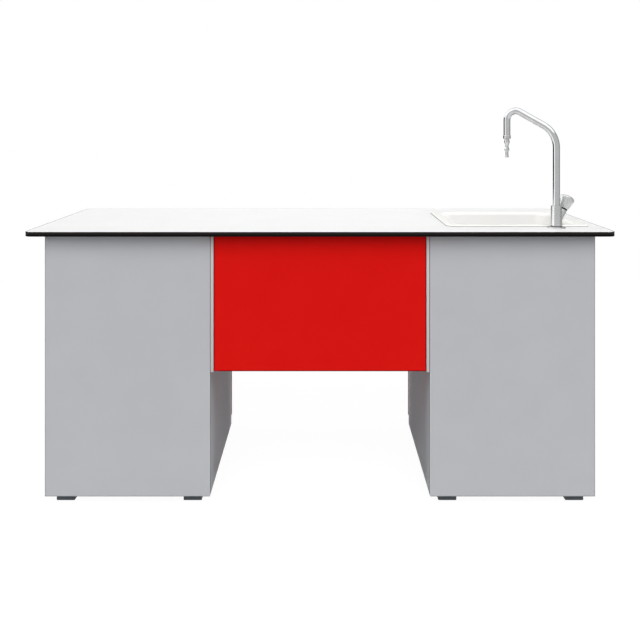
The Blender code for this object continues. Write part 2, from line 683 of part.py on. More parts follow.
def make_tap_body():
    """Deck flange, the body with its inclined branch, the shank through the worktop and the backnut."""
    chrome = finish("satin_chrome", 186, 187, 186, 0.2, 1.0)
    bore = TAP_SHANK_RADIUS + TAP_SHANK_CLEARANCE
    top = TAP_FLANGE_HEIGHT
    turned("tap_flange", [
        (bore, top), (TAP_FLANGE_CROWN, top),
        (TAP_FLANGE_RADIUS - TAP_FLANGE_EDGE, top - TAP_FLANGE_EDGE / 2),
        (TAP_FLANGE_RADIUS, top - 2 * TAP_FLANGE_EDGE + FIT), (TAP_FLANGE_RADIUS, FIT), (bore, FIT),
    ], chrome, TAP_BASE, closed=True, sides=40)
    low = TAP_FLANGE_HEIGHT + FIT
    groove_low = low + TAP_GROOVE_LOW
    groove_high = low + TAP_GROOVE_HIGH
    radius = TAP_BODY_RADIUS
    bead = radius + TAP_BODY_BEAD
    neck = radius - TAP_BODY_GROOVE
    socket = SPOUT_RADIUS + FIT
    socket_floor = TAP_BODY_TOP - SPOUT_SOCKET - FIT
    shank_end = -TAP_SHANK_LENGTH
    body = turned("tap_body", [
        (0, socket_floor), (socket, socket_floor), (socket, TAP_BODY_TOP),
        (radius - TAP_BODY_CHAMFER, TAP_BODY_TOP), (radius, TAP_BODY_TOP - TAP_BODY_CHAMFER),
        (radius, groove_high + TAP_BODY_GROOVE), (neck, groove_high), (neck, groove_low),
        (bead, groove_low - TAP_BODY_GROOVE), (bead, low),
        (TAP_SHANK_RADIUS, low), (TAP_SHANK_RADIUS, shank_end), (TAP_INLET_BORE, shank_end),
        (TAP_INLET_BORE, shank_end + TAP_INLET_DEPTH), (0, shank_end + TAP_INLET_DEPTH),
    ], chrome, TAP_BASE)
    bonnet_top = BRANCH_END + BONNET_HEIGHT
    bonnet_flat = BONNET_RADIUS - BONNET_CHAMFER
    branch = turned("tap_branch", [
        (0, bonnet_top), (bonnet_flat, bonnet_top), (BONNET_RADIUS, bonnet_top - BONNET_CHAMFER),
        (BONNET_RADIUS, BRANCH_END + BONNET_CHAMFER), (bonnet_flat, BRANCH_END),
        (BRANCH_RADIUS, BRANCH_END), (BRANCH_ROOT_RADIUS, BRANCH_START), (0, BRANCH_START),
    ], chrome, TAP_BASE + Vector((0, 0, VALVE_ROOT_HEIGHT)), sides=28)
    branch.rotation_euler = valve_turn().to_euler()
    fuse(body, branch)
    smooth(body.data)
    nut = [hexagon(BACKNUT_FLATS), circle(TAP_SHANK_RADIUS + FIT, 32)]
    z_nut = WORK_HEIGHT - TOP_THICKNESS - FIT - BACKNUT_HEIGHT
    outline("tap_backnut", nut, BACKNUT_HEIGHT, chrome, origin=(X_TAP, Y_TAP, z_nut))
    return chrome


def make_valve(chrome):
    """The black ring on the bonnet, and the flared knob with its stem through the ring."""
    axis = pivot("valve_pivot", TAP_BASE + Vector((0, 0, VALVE_ROOT_HEIGHT)), valve_turn())
    ring_high = RING_LOW + RING_HEIGHT
    rubber = finish("black_ring", 14, 14, 15, 0.5)
    stem_bore = KNOB_STEM_RADIUS + FIT
    turned("valve_ring", [
        (stem_bore, ring_high), (RING_RADIUS - RING_CHAMFER, ring_high),
        (RING_RADIUS, ring_high - RING_CHAMFER), (RING_RADIUS, RING_LOW), (stem_bore, RING_LOW),
    ], rubber, parent=axis, closed=True, sides=28)
    stem_end = RING_LOW + FIT
    top = KNOB_BASE + KNOB_SKIRT
    dome_steps = 5
    dome = []
    for step in range(dome_steps + 1):
        angle = math.pi / 2 * step / dome_steps
        dome.append((KNOB_TOP_RADIUS * math.sin(angle), top + KNOB_DOME * math.cos(angle)))
    knob = turned("valve_knob", dome + [
        (KNOB_BASE_RADIUS, KNOB_BASE + KNOB_BASE_CHAMFER), (KNOB_BASE_RADIUS - KNOB_BASE_CHAMFER, KNOB_BASE),
        (KNOB_STEM_RADIUS, KNOB_BASE), (KNOB_STEM_RADIUS, stem_end), (0, stem_end),
    ], chrome, parent=axis, sides=54)
    flare = math.atan2(KNOB_TOP_RADIUS - KNOB_BASE_RADIUS, KNOB_SKIRT)
    middle = (KNOB_TOP_RADIUS + KNOB_BASE_RADIUS) / 2
    grooves = bmesh.new()
    for i in range(KNOB_RIBS):
        out = Matrix.Translation((middle + KNOB_RIB_RISE, 0, KNOB_BASE + KNOB_SKIRT / 2))
        round_axis = Matrix.Rotation(math.tau * (i + 0.5) / KNOB_RIBS, 4, "Z")
        move = round_axis @ out @ Matrix.Rotation(flare, 4, "Y")
        bmesh.ops.create_cone(grooves, cap_ends=True, segments=8, radius1=KNOB_RIB_CUT, radius2=KNOB_RIB_CUT,
                              depth=KNOB_RIB_LENGTH, matrix=move)
    mesh = bpy.data.meshes.new("knob_grooves")
    grooves.to_mesh(mesh)
    grooves.free()
    cut(knob, place("knob_grooves", mesh, None, parent=axis))


def make_spout(chrome):
    """The swan neck with its end collar, and the hose nozzle under it."""
    turn = Matrix.Rotation(math.pi - SPOUT_SWING, 4, "Z")
    axis = pivot("spout_pivot", TAP_BASE, turn)
    outlet_corner = SPOUT_CORNER_HEIGHT + SPOUT_REACH * math.tan(SPOUT_SLOPE)
    pipe_end = SPOUT_OUTLET_HEIGHT + COLLAR_HEIGHT / 2
    corners = [
        (0, 0, TAP_BODY_TOP - SPOUT_SOCKET),
        (0, 0, SPOUT_CORNER_HEIGHT),
        (SPOUT_REACH, 0, outlet_corner),
        (SPOUT_REACH, 0, pipe_end),
    ]
    points = rounded_path(corners, (SPOUT_RISER_BEND, SPOUT_OUTLET_BEND), 10)
    spout = tube("spout", points, SPOUT_RADIUS, chrome, axis, resolution=8)
    collar_high = SPOUT_OUTLET_HEIGHT + COLLAR_HEIGHT
    collar_flat = COLLAR_RADIUS - COLLAR_CHAMFER
    collar = turned("spout_collar", [
        (0, collar_high), (collar_flat, collar_high), (COLLAR_RADIUS, collar_high - COLLAR_CHAMFER),
        (COLLAR_RADIUS, SPOUT_OUTLET_HEIGHT + COLLAR_CHAMFER), (collar_flat, SPOUT_OUTLET_HEIGHT),
        (0, SPOUT_OUTLET_HEIGHT),
    ], chrome, (SPOUT_REACH, 0, 0), axis, sides=20)
    fuse(spout, collar)
    smooth(spout.data)
    tip = -NOZZLE_PROFILE[-1][1] - NOZZLE_TIP_CHAMFER
    bore_end = tip + NOZZLE_BORE_DEPTH
    profile = [(0, 0)]
    profile += [(radius, -depth) for radius, depth in NOZZLE_PROFILE]
    profile += [(NOZZLE_TIP_RADIUS, tip), (NOZZLE_BORE, tip), (NOZZLE_BORE, bore_end), (0, bore_end)]
    origin = (SPOUT_REACH, 0, SPOUT_OUTLET_HEIGHT - FIT)
    turned("hose_nozzle", profile, chrome, origin, axis, sides=20)


def make_pull(name, centre, upright, material, parent):
    """A round bar bent into a bow; centre is on the door's face, measured from the parent."""
    half = PULL_SPACING / 2
    reach = PULL_PROJECTION - PULL_RADIUS
    corners = [(-half, FIT, 0), (-half, reach, 0), (half, reach, 0), (half, FIT, 0)]
    if upright:
        corners = [(0, y, x) for x, y, _ in corners]
    points = rounded_path(corners, (PULL_BEND, PULL_BEND), 5)
    return tube(name, points, PULL_RADIUS, material, parent, centre, resolution=4)


def knuckle_mesh(door_side):
    """One hinge half about the pin, for a hinge on the +X side; the leaf points to +Y on the door."""
    pitch = HINGE_HEIGHT / HINGE_KNUCKLES
    half = HINGE_HEIGHT / 2
    reach = HINGE_DOOR_LEAF if door_side else HINGE_FIXED_LEAF
    way = 1 if door_side else -1
    first = 1 if door_side else 0
    radius = HINGE_KNUCKLE_RADIUS
    clear = radius + HINGE_CLEARANCE
    sheet = (-radius, HINGE_SHEET - radius)
    near, far = sorted((way * clear, way * reach))
    plate = box_mesh("leaf", (sheet[0], near, -half), (sheet[1], far, half))
    half_name = "door" if door_side else "fixed"
    leaf = place(f"hinge_{half_name}_half", plate, None)
    extras = []
    for i in range(first, HINGE_KNUCKLES, 2):
        z_low = -half + i * pitch + (FIT / 2 if i else 0)
        z_high = -half + (i + 1) * pitch - (FIT / 2 if i < HINGE_KNUCKLES - 1 else 0)
        near, far = sorted((0, way * (clear + HINGE_SHEET)))
        tab = box_mesh("tab", (sheet[0], near, z_low), (sheet[1], far, z_high))
        extras.append(place("tab", tab, None))
        if door_side:
            bore = HINGE_PIN_RADIUS + HINGE_CLEARANCE
            ring = [(bore, z_high), (radius, z_high), (radius, z_low), (bore, z_low)]
            extras.append(turned("knuckle", ring, None, closed=True, sides=20))
        else:
            rod = [(0, z_high), (radius, z_high), (radius, z_low), (0, z_low)]
            extras.append(turned("knuckle", rod, None, sides=20))
    if not door_side:
        reach_in = half - pitch / 2
        pin = [(0, reach_in), (HINGE_PIN_RADIUS, reach_in), (HINGE_PIN_RADIUS, -reach_in), (0, -reach_in)]
        extras.append(turned("pin", pin, None, sides=20))
    fuse(leaf, *extras)
    mesh = leaf.data
    bpy.data.objects.remove(leaf, do_unlink=True)
    mesh.materials.clear()
    mesh.materials.append(finish("hinge_steel", 172, 172, 170, 0.35, 1.0))
    return smooth(mesh)


def mirrored(mesh):
    copy = mesh.copy()
    copy.transform(Matrix.Scale(-1, 4, (1, 0, 0)))
    copy.flip_normals()
    return copy


def make_door(cabinet, sign, z_top, red, steel, hinge_meshes):
    """A door on two butt hinges; it turns about the pins at the cabinet's outer corner."""
    x_axis = sign * (X_OUTER + FIT + HINGE_KNUCKLE_RADIUS)
    y_axis = (Y_CARCASS_REAR + Y_DOOR_BACK) / 2
    axis = pivot(f"{cabinet}_door_pivot", (x_axis, y_axis, 0))
    edges = sorted((sign * X_OUTER - x_axis, sign * (X_INNER + DOOR_REVEAL) - x_axis))
    low = (edges[0], Y_DOOR_BACK - y_axis, DOOR_BOTTOM)
    high = (edges[1], Y_DOOR_FACE - y_axis, z_top)
    board(f"{cabinet}_door", low, high, red, parent=axis)
    x_pull = sign * (X_INNER + DOOR_REVEAL + PULL_EDGE_INSET) - x_axis
    centre = (x_pull, Y_DOOR_FACE - y_axis, z_top - PULL_TOP_INSET)
    make_pull(f"{cabinet}_door_pull", centre, True, steel, axis)
    fixed, moving = hinge_meshes
    for place_name, z in (("low", DOOR_BOTTOM + HINGE_END_INSET), ("high", z_top - HINGE_END_INSET)):
        place(f"{cabinet}_hinge_{place_name}_fixed", fixed, None, (x_axis, y_axis, z))
        place(f"{cabinet}_hinge_{place_name}_door", moving, None, (0, 0, z), axis)


def make_drawer(x_low, x_high, rail_top, red, steel):
    """Drawer front, open box, and on each side a lipped channel with the rail inside it."""
    y_mouth = Y_CARCASS_REAR
    slide = pivot("drawer_slide_start", (0, y_mouth, 0))
    front_low = Vector((x_low, Y_DOOR_BACK - y_mouth, Z_DRAWER_BOTTOM))
    front_high = Vector((x_high - DOOR_REVEAL, Y_DOOR_FACE - y_mouth, Z_DOOR_TOP))
    board("drawer_front", front_low, front_high, red, parent=slide)
    middle = (front_low + front_high) / 2
    make_pull("drawer_pull", (middle.x, front_high.y, middle.z), False, steel, slide)

    side_gap = RUNNER_DEPTH + 2 * RUNNER_PLAY
    box_x = (x_low + BOARD + side_gap, x_high - BOARD - side_gap)
    z_box = rail_top + DRAWER_RAIL_CLEARANCE
    grey = finish("drawer_grey", 205, 206, 208, 0.5)
    low = (box_x[0], -DRAWER_LENGTH, z_box)
    high = (box_x[1], 0, z_box + DRAWER_BOX_HEIGHT)
    tray = board("drawer_box", low, high, grey, parent=slide)
    inner_low = (box_x[0] + DRAWER_WALL, -DRAWER_LENGTH + DRAWER_WALL, z_box + DRAWER_FLOOR)
    inner_high = (box_x[1] - DRAWER_WALL, -DRAWER_WALL, z_box + 2 * DRAWER_BOX_HEIGHT)
    hollow = place("drawer_hollow", box_mesh("drawer_hollow", inner_low, inner_high), None, parent=slide)
    cut(tray, hollow)

    half = RUNNER_HEIGHT / 2
    skin = RUNNER_SHEET
    mouth = half - RUNNER_LIP
    channel = [
        (0, -half), (RUNNER_DEPTH, -half), (RUNNER_DEPTH, -mouth), (RUNNER_DEPTH - skin, -mouth),
        (RUNNER_DEPTH - skin, -half + skin), (skin, -half + skin), (skin, half - skin),
        (RUNNER_DEPTH - skin, half - skin), (RUNNER_DEPTH - skin, mouth), (RUNNER_DEPTH, mouth),
        (RUNNER_DEPTH, half), (0, half),
    ]
    head = half - skin - RUNNER_PLAY
    stem = mouth - RUNNER_PLAY
    reach = RUNNER_DEPTH - skin - RUNNER_PLAY
    end = side_gap - FIT - FIT
    rail = [
        (skin + RUNNER_PLAY, -head), (reach, -head), (reach, -stem), (end, -stem),
        (end, stem), (reach, stem), (reach, head), (skin + RUNNER_PLAY, head),
    ]
    stand_up = Matrix.Rotation(math.radians(90), 4, "X")
    z_runner = z_box + DRAWER_BOX_HEIGHT / 2
    for side, x_wall, way in (("left", x_low + BOARD + FIT, 1), ("right", x_high - BOARD - FIT, -1)):
        section = [(way * u, v) for u, v in channel]
        origin = (x_wall, y_mouth, z_runner)
        outline(f"drawer_runner_{side}", [section], DRAWER_LENGTH - FIT, steel, stand_up, origin=origin)
        section = [(way * u, v) for u, v in rail]
        origin = (x_wall, 0, z_runner)
        outline(f"drawer_rail_{side}", [section], DRAWER_LENGTH, steel, stand_up, slide, origin)


def main():
    start_empty_scene()
    make_worktop()
    cabinets = {"dry": (-X_OUTER, -X_INNER), "wet": (X_INNER, X_OUTER)}
    insides = {}
    for cabinet, (x_low, x_high) in cabinets.items():
        insides[cabinet] = make_carcass(cabinet, x_low, x_high)
        make_feet(cabinet, x_low, x_high)
    rail_top = make_dry_rails(*insides["dry"])
    make_wet_rails(*insides["wet"])
    make_modesty_panel()

    make_waste(make_sink())
    chrome = make_tap_body()
    make_valve(chrome)
    make_spout(chrome)

    red = finish("red_laminate", 208, 21, 20, 0.45)
    steel = finish("brushed_steel", 186, 187, 186, 0.3, 1.0)
    fixed = knuckle_mesh(False)
    moving = knuckle_mesh(True)
    make_door("wet", 1, Z_DOOR_TOP, red, steel, (fixed, moving))
    make_door("dry", -1, Z_DRY_DOOR_TOP, red, steel, (mirrored(fixed), mirrored(moving)))
    make_drawer(*cabinets["dry"], rail_top, red, steel)


main()
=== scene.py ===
import json
import math

import bmesh
import bpy
from mathutils import Matrix, Vector


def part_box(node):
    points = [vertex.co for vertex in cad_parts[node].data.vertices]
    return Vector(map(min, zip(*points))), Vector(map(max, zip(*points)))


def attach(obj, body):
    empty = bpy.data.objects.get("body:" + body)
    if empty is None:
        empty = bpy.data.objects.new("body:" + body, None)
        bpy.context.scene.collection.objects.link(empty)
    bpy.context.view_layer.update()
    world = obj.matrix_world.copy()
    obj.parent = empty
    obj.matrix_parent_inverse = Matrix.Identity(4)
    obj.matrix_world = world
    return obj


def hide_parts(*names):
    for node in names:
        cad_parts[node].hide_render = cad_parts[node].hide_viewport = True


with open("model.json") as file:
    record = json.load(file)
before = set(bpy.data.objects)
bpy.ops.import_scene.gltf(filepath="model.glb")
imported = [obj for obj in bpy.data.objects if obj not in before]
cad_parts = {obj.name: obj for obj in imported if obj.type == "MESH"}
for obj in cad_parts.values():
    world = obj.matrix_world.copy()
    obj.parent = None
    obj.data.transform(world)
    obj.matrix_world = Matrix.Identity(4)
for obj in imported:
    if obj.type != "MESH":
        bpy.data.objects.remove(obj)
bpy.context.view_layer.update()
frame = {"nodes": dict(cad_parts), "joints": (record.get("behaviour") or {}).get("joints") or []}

# The feet are square blocks moulded in slate-coloured plastic, one at each cabinet corner.
# Each is screwed up into the bottom board through a counterbore in its underside.
FOOT_CORNER = 0.0030
FOOT_EDGE = 0.0012
FOOT_COUNTERBORE = 0.009
COUNTERBORE_DEPTH = 0.012
THROUGH = 0.01

def pick_only(piece):
    bpy.ops.object.select_all(action="DESELECT")
    piece.select_set(True)
    bpy.context.view_layer.objects.active = piece

def freeze(piece):
    """Moves a piece's place, turn and size into its mesh."""
    pick_only(piece)
    bpy.ops.object.transform_apply(location=True, rotation=True, scale=True)

def apply_modifiers(piece):
    pick_only(piece)
    for modifier in list(piece.modifiers):
        bpy.ops.object.modifier_apply(modifier=modifier.name)

def select_edges(piece, wanted):
    """In edit mode: selects only the edges for which wanted(start, end) is true."""
    bpy.ops.mesh.select_mode(type="EDGE")
    bpy.ops.mesh.select_all(action="DESELECT")
    shape = bmesh.from_edit_mesh(piece.data)
    for edge in shape.edges:
        edge.select_set(bool(wanted(edge.verts[0].co, edge.verts[1].co)))
    bmesh.update_edit_mesh(piece.data)

def select_faces(piece, wanted):
    """In edit mode: selects only the faces for which wanted(centre, normal) is true."""
    bpy.ops.mesh.select_mode(type="FACE")
    bpy.ops.mesh.select_all(action="DESELECT")
    shape = bmesh.from_edit_mesh(piece.data)
    shape.normal_update()
    for face in shape.faces:
        face.select_set(bool(wanted(face.calc_center_median(), face.normal)))
    bmesh.update_edit_mesh(piece.data)

def upright(start, end):
    return (start.xy - end.xy).length < 1e-5

def named(name):
    """The piece that was just added, with its name given to it and to its mesh."""
    piece = bpy.context.object
    piece.name = piece.data.name = name
    return piece

def add_block(name, low, high):
    bpy.ops.object.select_all(action="DESELECT")
    bpy.ops.mesh.primitive_cube_add(size=1, location=(Vector(low) + Vector(high)) / 2)
    block = named(name)
    block.scale = Vector(high) - Vector(low)
    freeze(block)
    return block

def bevel_edges(piece, wanted, radius, segments=5):
    """Rounds only the edges for which wanted(start, end) is true."""
    pick_only(piece)
    bpy.ops.object.mode_set(mode="EDIT")
    select_edges(piece, wanted)
    bpy.ops.mesh.bevel(offset=radius, segments=segments, affect="EDGES")
    bpy.ops.object.mode_set(mode="OBJECT")

def combine(piece, other, operation):
    """Cuts another shape out of a piece or joins it on, and takes the other shape away."""
    pick_only(piece)
    modifier = piece.modifiers.new("combine", "BOOLEAN")
    modifier.operation = operation
    modifier.solver = "EXACT"
    modifier.object = other
    bpy.ops.object.modifier_apply(modifier=modifier.name)
    bpy.data.objects.remove(other, do_unlink=True)

def cut_out(piece, cutter):
    """Cuts the cutter's shape out of a piece and takes the cutter away."""
    combine(piece, cutter, "DIFFERENCE")

def add_rod(radius, low, high, sides=32):
    """A plain upright rod between the centres of its two ends, as a drill bit or a shank."""
    bpy.ops.object.select_all(action="DESELECT")
    middle = (Vector(low) + Vector(high)) / 2
    depth = high[2] - low[2]
    bpy.ops.mesh.primitive_cylinder_add(vertices=sides, radius=radius, depth=depth, location=middle)
    return bpy.context.object

def ease_edges(piece, width, segments=2, angle=50):
    """Breaks the sharp edges of a finished shape, as sanding or moulding does."""
    modifier = piece.modifiers.new("ease", "BEVEL")
    modifier.width = width
    modifier.segments = segments
    modifier.limit_method = "ANGLE"
    modifier.angle_limit = math.radians(angle)
    apply_modifiers(piece)

def shade_round(piece, angle=35):
    pick_only(piece)
    bpy.ops.object.shade_smooth_by_angle(angle=math.radians(angle))

def paint(red, green, blue):
    """A colour given in display values from 0 to 255, as the linear one that a shader takes."""
    shares = [min(255, max(0, value)) / 255 for value in (red, green, blue)]
    return (*(s / 12.92 if s <= 0.04045 else ((s + 0.055) / 1.055) ** 2.4 for s in shares), 1.0)

def feed(tree, node, inputs):
    """Gives each input a value, or the socket of another node to take it from."""
    for slot, value in inputs.items():
        if isinstance(value, bpy.types.NodeSocket):
            tree.links.new(value, node.inputs[slot])
        else:
            node.inputs[slot].default_value = value

def add_node(tree, kind, inputs=None, **settings):
    node = tree.nodes.new(kind)
    for name, value in settings.items():
        setattr(node, name, value)
    feed(tree, node, inputs or {})
    return node

def new_finish(name):
    material = bpy.data.materials.new(name)
    material.use_nodes = True
    return material, material.node_tree, material.node_tree.nodes["Principled BSDF"]

def grain(tree, scale, detail=3.0, stretch=(1, 1, 1)):
    """Noise in the piece's own space; a stretch squeezes it across the direction of the real grain."""
    place = add_node(tree, "ShaderNodeTexCoord").outputs["Object"]
    mapping = add_node(tree, "ShaderNodeMapping", {"Vector": place, "Scale": stretch})
    noise = add_node(tree, "ShaderNodeTexNoise", {
        "Vector": mapping.outputs["Vector"], "Scale": scale, "Detail": detail})
    return noise.outputs["Fac"]

def tint(tree, source, shader, tone, unevenness):
    """Clouds a tone a little darker and lighter."""
    blend = add_node(tree, "ShaderNodeValToRGB", {"Fac": source})
    for stop, position, way in zip(blend.color_ramp.elements, (0.35, 0.65), (-1, 1)):
        stop.position = position
        stop.color = paint(*(value + way * unevenness for value in tone))
    feed(tree, shader, {"Base Color": blend.outputs["Color"]})

def vary_roughness(tree, source, shader, low, high):
    scale = add_node(tree, "ShaderNodeMapRange", {
        "Value": source, "From Min": 0.3, "From Max": 0.7, "To Min": low, "To Max": high})
    feed(tree, shader, {"Roughness": scale.outputs["Result"]})

def raise_grain(tree, source, shader, strength, height):
    bump = add_node(tree, "ShaderNodeBump", {"Height": source, "Strength": strength, "Distance": height})
    feed(tree, shader, {"Normal": bump.outputs["Normal"]})

def surface(name, tone, roughness, unevenness=2, peel=380.0, relief=0.08, sheen=0.25):
    """An even-toned finish: a faint cloudiness, and the texture of its mould, press plate or paint."""
    material, tree, shader = new_finish(name)
    tint(tree, grain(tree, 10.0, 4.0), shader, tone, unevenness)
    texture = grain(tree, peel, 2.0)
    vary_roughness(tree, texture, shader, roughness - 0.05, roughness + 0.06)
    raise_grain(tree, texture, shader, relief, 0.0004)
    feed(tree, shader, {"Specular IOR Level": sheen})
    return material

def mount(piece, body, slot, *nodes):
    """Says what a piece rides on and which solids it stands for; the slot argument is not used."""
    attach(piece, body)
    if nodes:
        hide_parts(*nodes)

def finish_piece(piece, material, body, slot, *nodes, angle=35):
    piece.data.materials.append(material)
    shade_round(piece, angle)
    mount(piece, body, slot, *nodes)

slate_plastic = surface("slate_moulded_plastic", (82, 87, 91), 0.55, 3, 350.0, 0.14)
for node in [name for name in frame["nodes"] if "_foot_" in name]:
    low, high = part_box(node)
    foot = add_block(node + "_block", low, high)
    bevel_edges(foot, upright, FOOT_CORNER, 4)
    middle = (low + high) / 2
    cut_out(foot, add_rod(FOOT_COUNTERBORE, (middle.x, middle.y, low.z - THROUGH),
                          (middle.x, middle.y, low.z + COUNTERBORE_DEPTH)))
    ease_edges(foot, FOOT_EDGE)
    finish_piece(foot, slate_plastic, "carcass", "slate_plastic", node)

# The cabinets are of melamine-faced chipboard, 19 mm thick, sawn to size and doweled together.
# A thin plastic edge band is glued round each board, trimmed flush and rounded.
# Beside the knee space the band of the public panels carries a painted highlight: a lighter grey along its
# front arris.
BAND = 0.0011
BAND_ROUND = 0.0012
CARCASS_BOARDS = [
    "dry_outer_side", "dry_inner_side", "dry_public_panel", "dry_bottom", "dry_plinth_rail",
    "dry_top_rail_public", "dry_top_rail_user", "dry_divider_rail", "dry_shelf",
    "wet_outer_side", "wet_inner_side", "wet_public_panel", "wet_bottom", "wet_plinth_rail",
    "wet_top_rail_public", "wet_top_rail_user",
]

def face_with(piece, material, wanted, border=0):
    """Gives the wanted faces a material of their own, which can stop a border short of their edges."""
    piece.data.materials.append(material)
    bpy.ops.object.mode_set(mode="EDIT")
    select_faces(piece, wanted)
    if border:
        bpy.ops.mesh.inset(thickness=border, depth=0)
    piece.active_material_index = len(piece.data.materials) - 1
    bpy.ops.object.material_slot_assign()
    bpy.ops.object.mode_set(mode="OBJECT")

def edged_board(node, decor, band, thickness=BAND, rounding=BAND_ROUND):
    """A board with decor on its two broad faces, and a band round the narrow ones."""
    low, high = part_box(node)
    thin = min(range(3), key=lambda axis: high[axis] - low[axis])
    piece = add_block(node + "_board", low, high)
    piece.data.materials.append(band)
    face_with(piece, decor, lambda centre, normal: abs(normal[thin]) > 0.9, thickness + rounding)
    ease_edges(piece, rounding)
    shade_round(piece, 30)
    return piece

grey_decor = surface("grey_melamine", (183, 185, 189), 0.62, 1, 620.0, 0.05, sheen=0.08)
grey_band = surface("grey_edge_band", (142, 144, 148), 0.55, 1, 900.0, 0.02, sheen=0.06)
highlight_band = surface("grey_band_painted_highlight", (197, 199, 203), 0.50, 1, 900.0, 0.02, sheen=0.08)
for node in CARCASS_BOARDS:
    carcass_board = edged_board(node, grey_decor, grey_band)
    if node.endswith("public_panel"):
        knee_edge = min((corner.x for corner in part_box(node)), key=abs)
        # Painted highlight: the band's front arris beside the knee space is given a lighter grey.
        face_with(carcass_board, highlight_band, lambda centre, normal: normal.y < -0.3
                  and abs(centre.x - knee_edge) < BAND + BAND_ROUND)
    mount(carcass_board, "carcass", "grey_laminate", node)

# The modesty panel, the doors and the drawer front are the same board in a bright red decor.
# Their edge band is a shade deeper, 2 mm thick and rounded so that it doesn't catch the hand.
# Doors and drawer front run out to the knee space, where their edge shows as a thin line.
RED_BAND = 0.0020
RED_BAND_ROUND = 0.0010
PANEL_DROP = 0.0017
KNEE_LAP = 0.0020
RED_BOARDS = {
    "modesty_panel": "carcass",
    "wet_door": "wet_door_leaf",
    "dry_door": "dry_door_leaf",
    "drawer_front": "drawer",
}
red_decor = surface("red_melamine", (213, 20, 16), 0.44, 1, 620.0, 0.05, sheen=0.05)
red_band = surface("red_edge_band", (118, 11, 10), 0.42, 1, 900.0, 0.02, sheen=0.06)
for node, body in RED_BOARDS.items():
    red_board = edged_board(node, red_decor, red_band, RED_BAND, RED_BAND_ROUND)
    low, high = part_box(node)
    knee_edge = min(low.x, high.x, key=abs)
    edging = RED_BAND + RED_BAND_ROUND
    bpy.ops.object.mode_set(mode="EDIT")
    if body == "carcass":
        select_faces(red_board, lambda centre, normal: centre.z - low.z < edging)
        bpy.ops.transform.translate(value=(0, 0, -PANEL_DROP))
    else:
        select_faces(red_board, lambda centre, normal: abs(centre.x - knee_edge) < edging)
        bpy.ops.transform.translate(value=(-math.copysign(KNEE_LAP, knee_edge), 0, 0))
    bpy.ops.object.mode_set(mode="OBJECT")
    mount(red_board, body, "red_laminate", node)

# A strip folded from light grey coated 1.5 mm steel closes the gap at each end of the modesty panel.
# Its front is flush with the panel and its foot a little lower. One leg is screwed to the cabinet,
# the other to the panel's back.
STRIP_SHEET = 0.0015
STRIP_BENDS = (0.0028, 0.0012)
STRIP_LEG = 0.040
STRIP_FRONT = 0.0108
STRIP_DROP = 0.0042
FOLD_DEPTH = 0.0193

def set_down(piece, matrix):
    """Puts a piece that was made elsewhere in its place."""
    piece.matrix_world = matrix
    freeze(piece)

def copy_piece(piece, name, matrix):
    """A copy with a mesh of its own, put in its place."""
    copy = piece.copy()
    copy.data = piece.data.copy()
    copy.name = name
    copy.data.name = name
    bpy.context.scene.collection.objects.link(copy)
    set_down(copy, matrix)
    return copy

def turn_outward():
    """In edit mode: turns all faces outward and leaves it."""
    bpy.ops.mesh.select_all(action="SELECT")
    bpy.ops.mesh.normals_make_consistent(inside=False)
    bpy.ops.object.mode_set(mode="OBJECT")

def mirror_sides(piece):
    """The twin of a piece across the table's middle, with its faces turned outward again."""
    twin = copy_piece(piece, piece.name + "_mirrored", Matrix.Scale(-1, 4, (1, 0, 0)))
    bpy.ops.object.mode_set(mode="EDIT")
    turn_outward()
    return twin

def draw_outline(name, points):
    """A new piece, left in edit mode: one point, drawn on from each place to the next."""
    bpy.ops.object.select_all(action="DESELECT")
    bpy.ops.mesh.primitive_plane_add(size=0.01, location=(0, 0, 0))
    piece = named(name)
    bpy.ops.object.mode_set(mode="EDIT")
    bpy.ops.mesh.select_mode(type="VERT")
    bpy.ops.mesh.select_all(action="SELECT")
    bpy.ops.mesh.merge(type="CENTER")
    bpy.ops.transform.translate(value=points[0])
    for point, following in zip(points, points[1:]):
        move = [there - here for here, there in zip(point, following)]
        bpy.ops.mesh.extrude_region_move(TRANSFORM_OT_translate={"value": move})
    return piece

def give_wall(piece, thickness, side):
    """Makes a plate of a skin: side 1 adds the thickness along its normals, side -1 against them."""
    wall = piece.modifiers.new("wall", "SOLIDIFY")
    wall.thickness = thickness
    wall.offset = side
    wall.use_even_offset = True
    apply_modifiers(piece)

light_coat = surface("light_grey_powder_coat", (199, 194, 195), 0.40, 2, 420.0, 0.10)
low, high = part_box("panel_angle_left")
low.z -= STRIP_DROP
folds = [(0, 0), (STRIP_FRONT, 0)]
route = [(0, FOLD_DEPTH + STRIP_LEG), *folds, (STRIP_FRONT, FOLD_DEPTH), (STRIP_LEG, FOLD_DEPTH)]
strip = draw_outline("panel_angle_left_strip", [(low.x + x, low.y + y, low.z) for x, y in route])
bpy.ops.mesh.select_mode(type="EDGE")
bpy.ops.mesh.select_all(action="SELECT")
bpy.ops.mesh.extrude_region_move(TRANSFORM_OT_translate={"value": (0, 0, high.z - low.z)})
bpy.ops.object.mode_set(mode="OBJECT")
for (x, y), radius in zip(folds, STRIP_BENDS):
    bend = Vector((low.x + x, low.y + y))
    bevel_edges(strip, lambda start, end: upright(start, end) and (start.xy - bend).length < 1e-5, radius)
give_wall(strip, STRIP_SHEET, 1.0)
ease_edges(strip, 0.0003)
for side, piece in (("left", strip), ("right", mirror_sides(strip))):
    finish_piece(piece, light_coat, "carcass", "light_grey_steel", f"panel_angle_{side}")
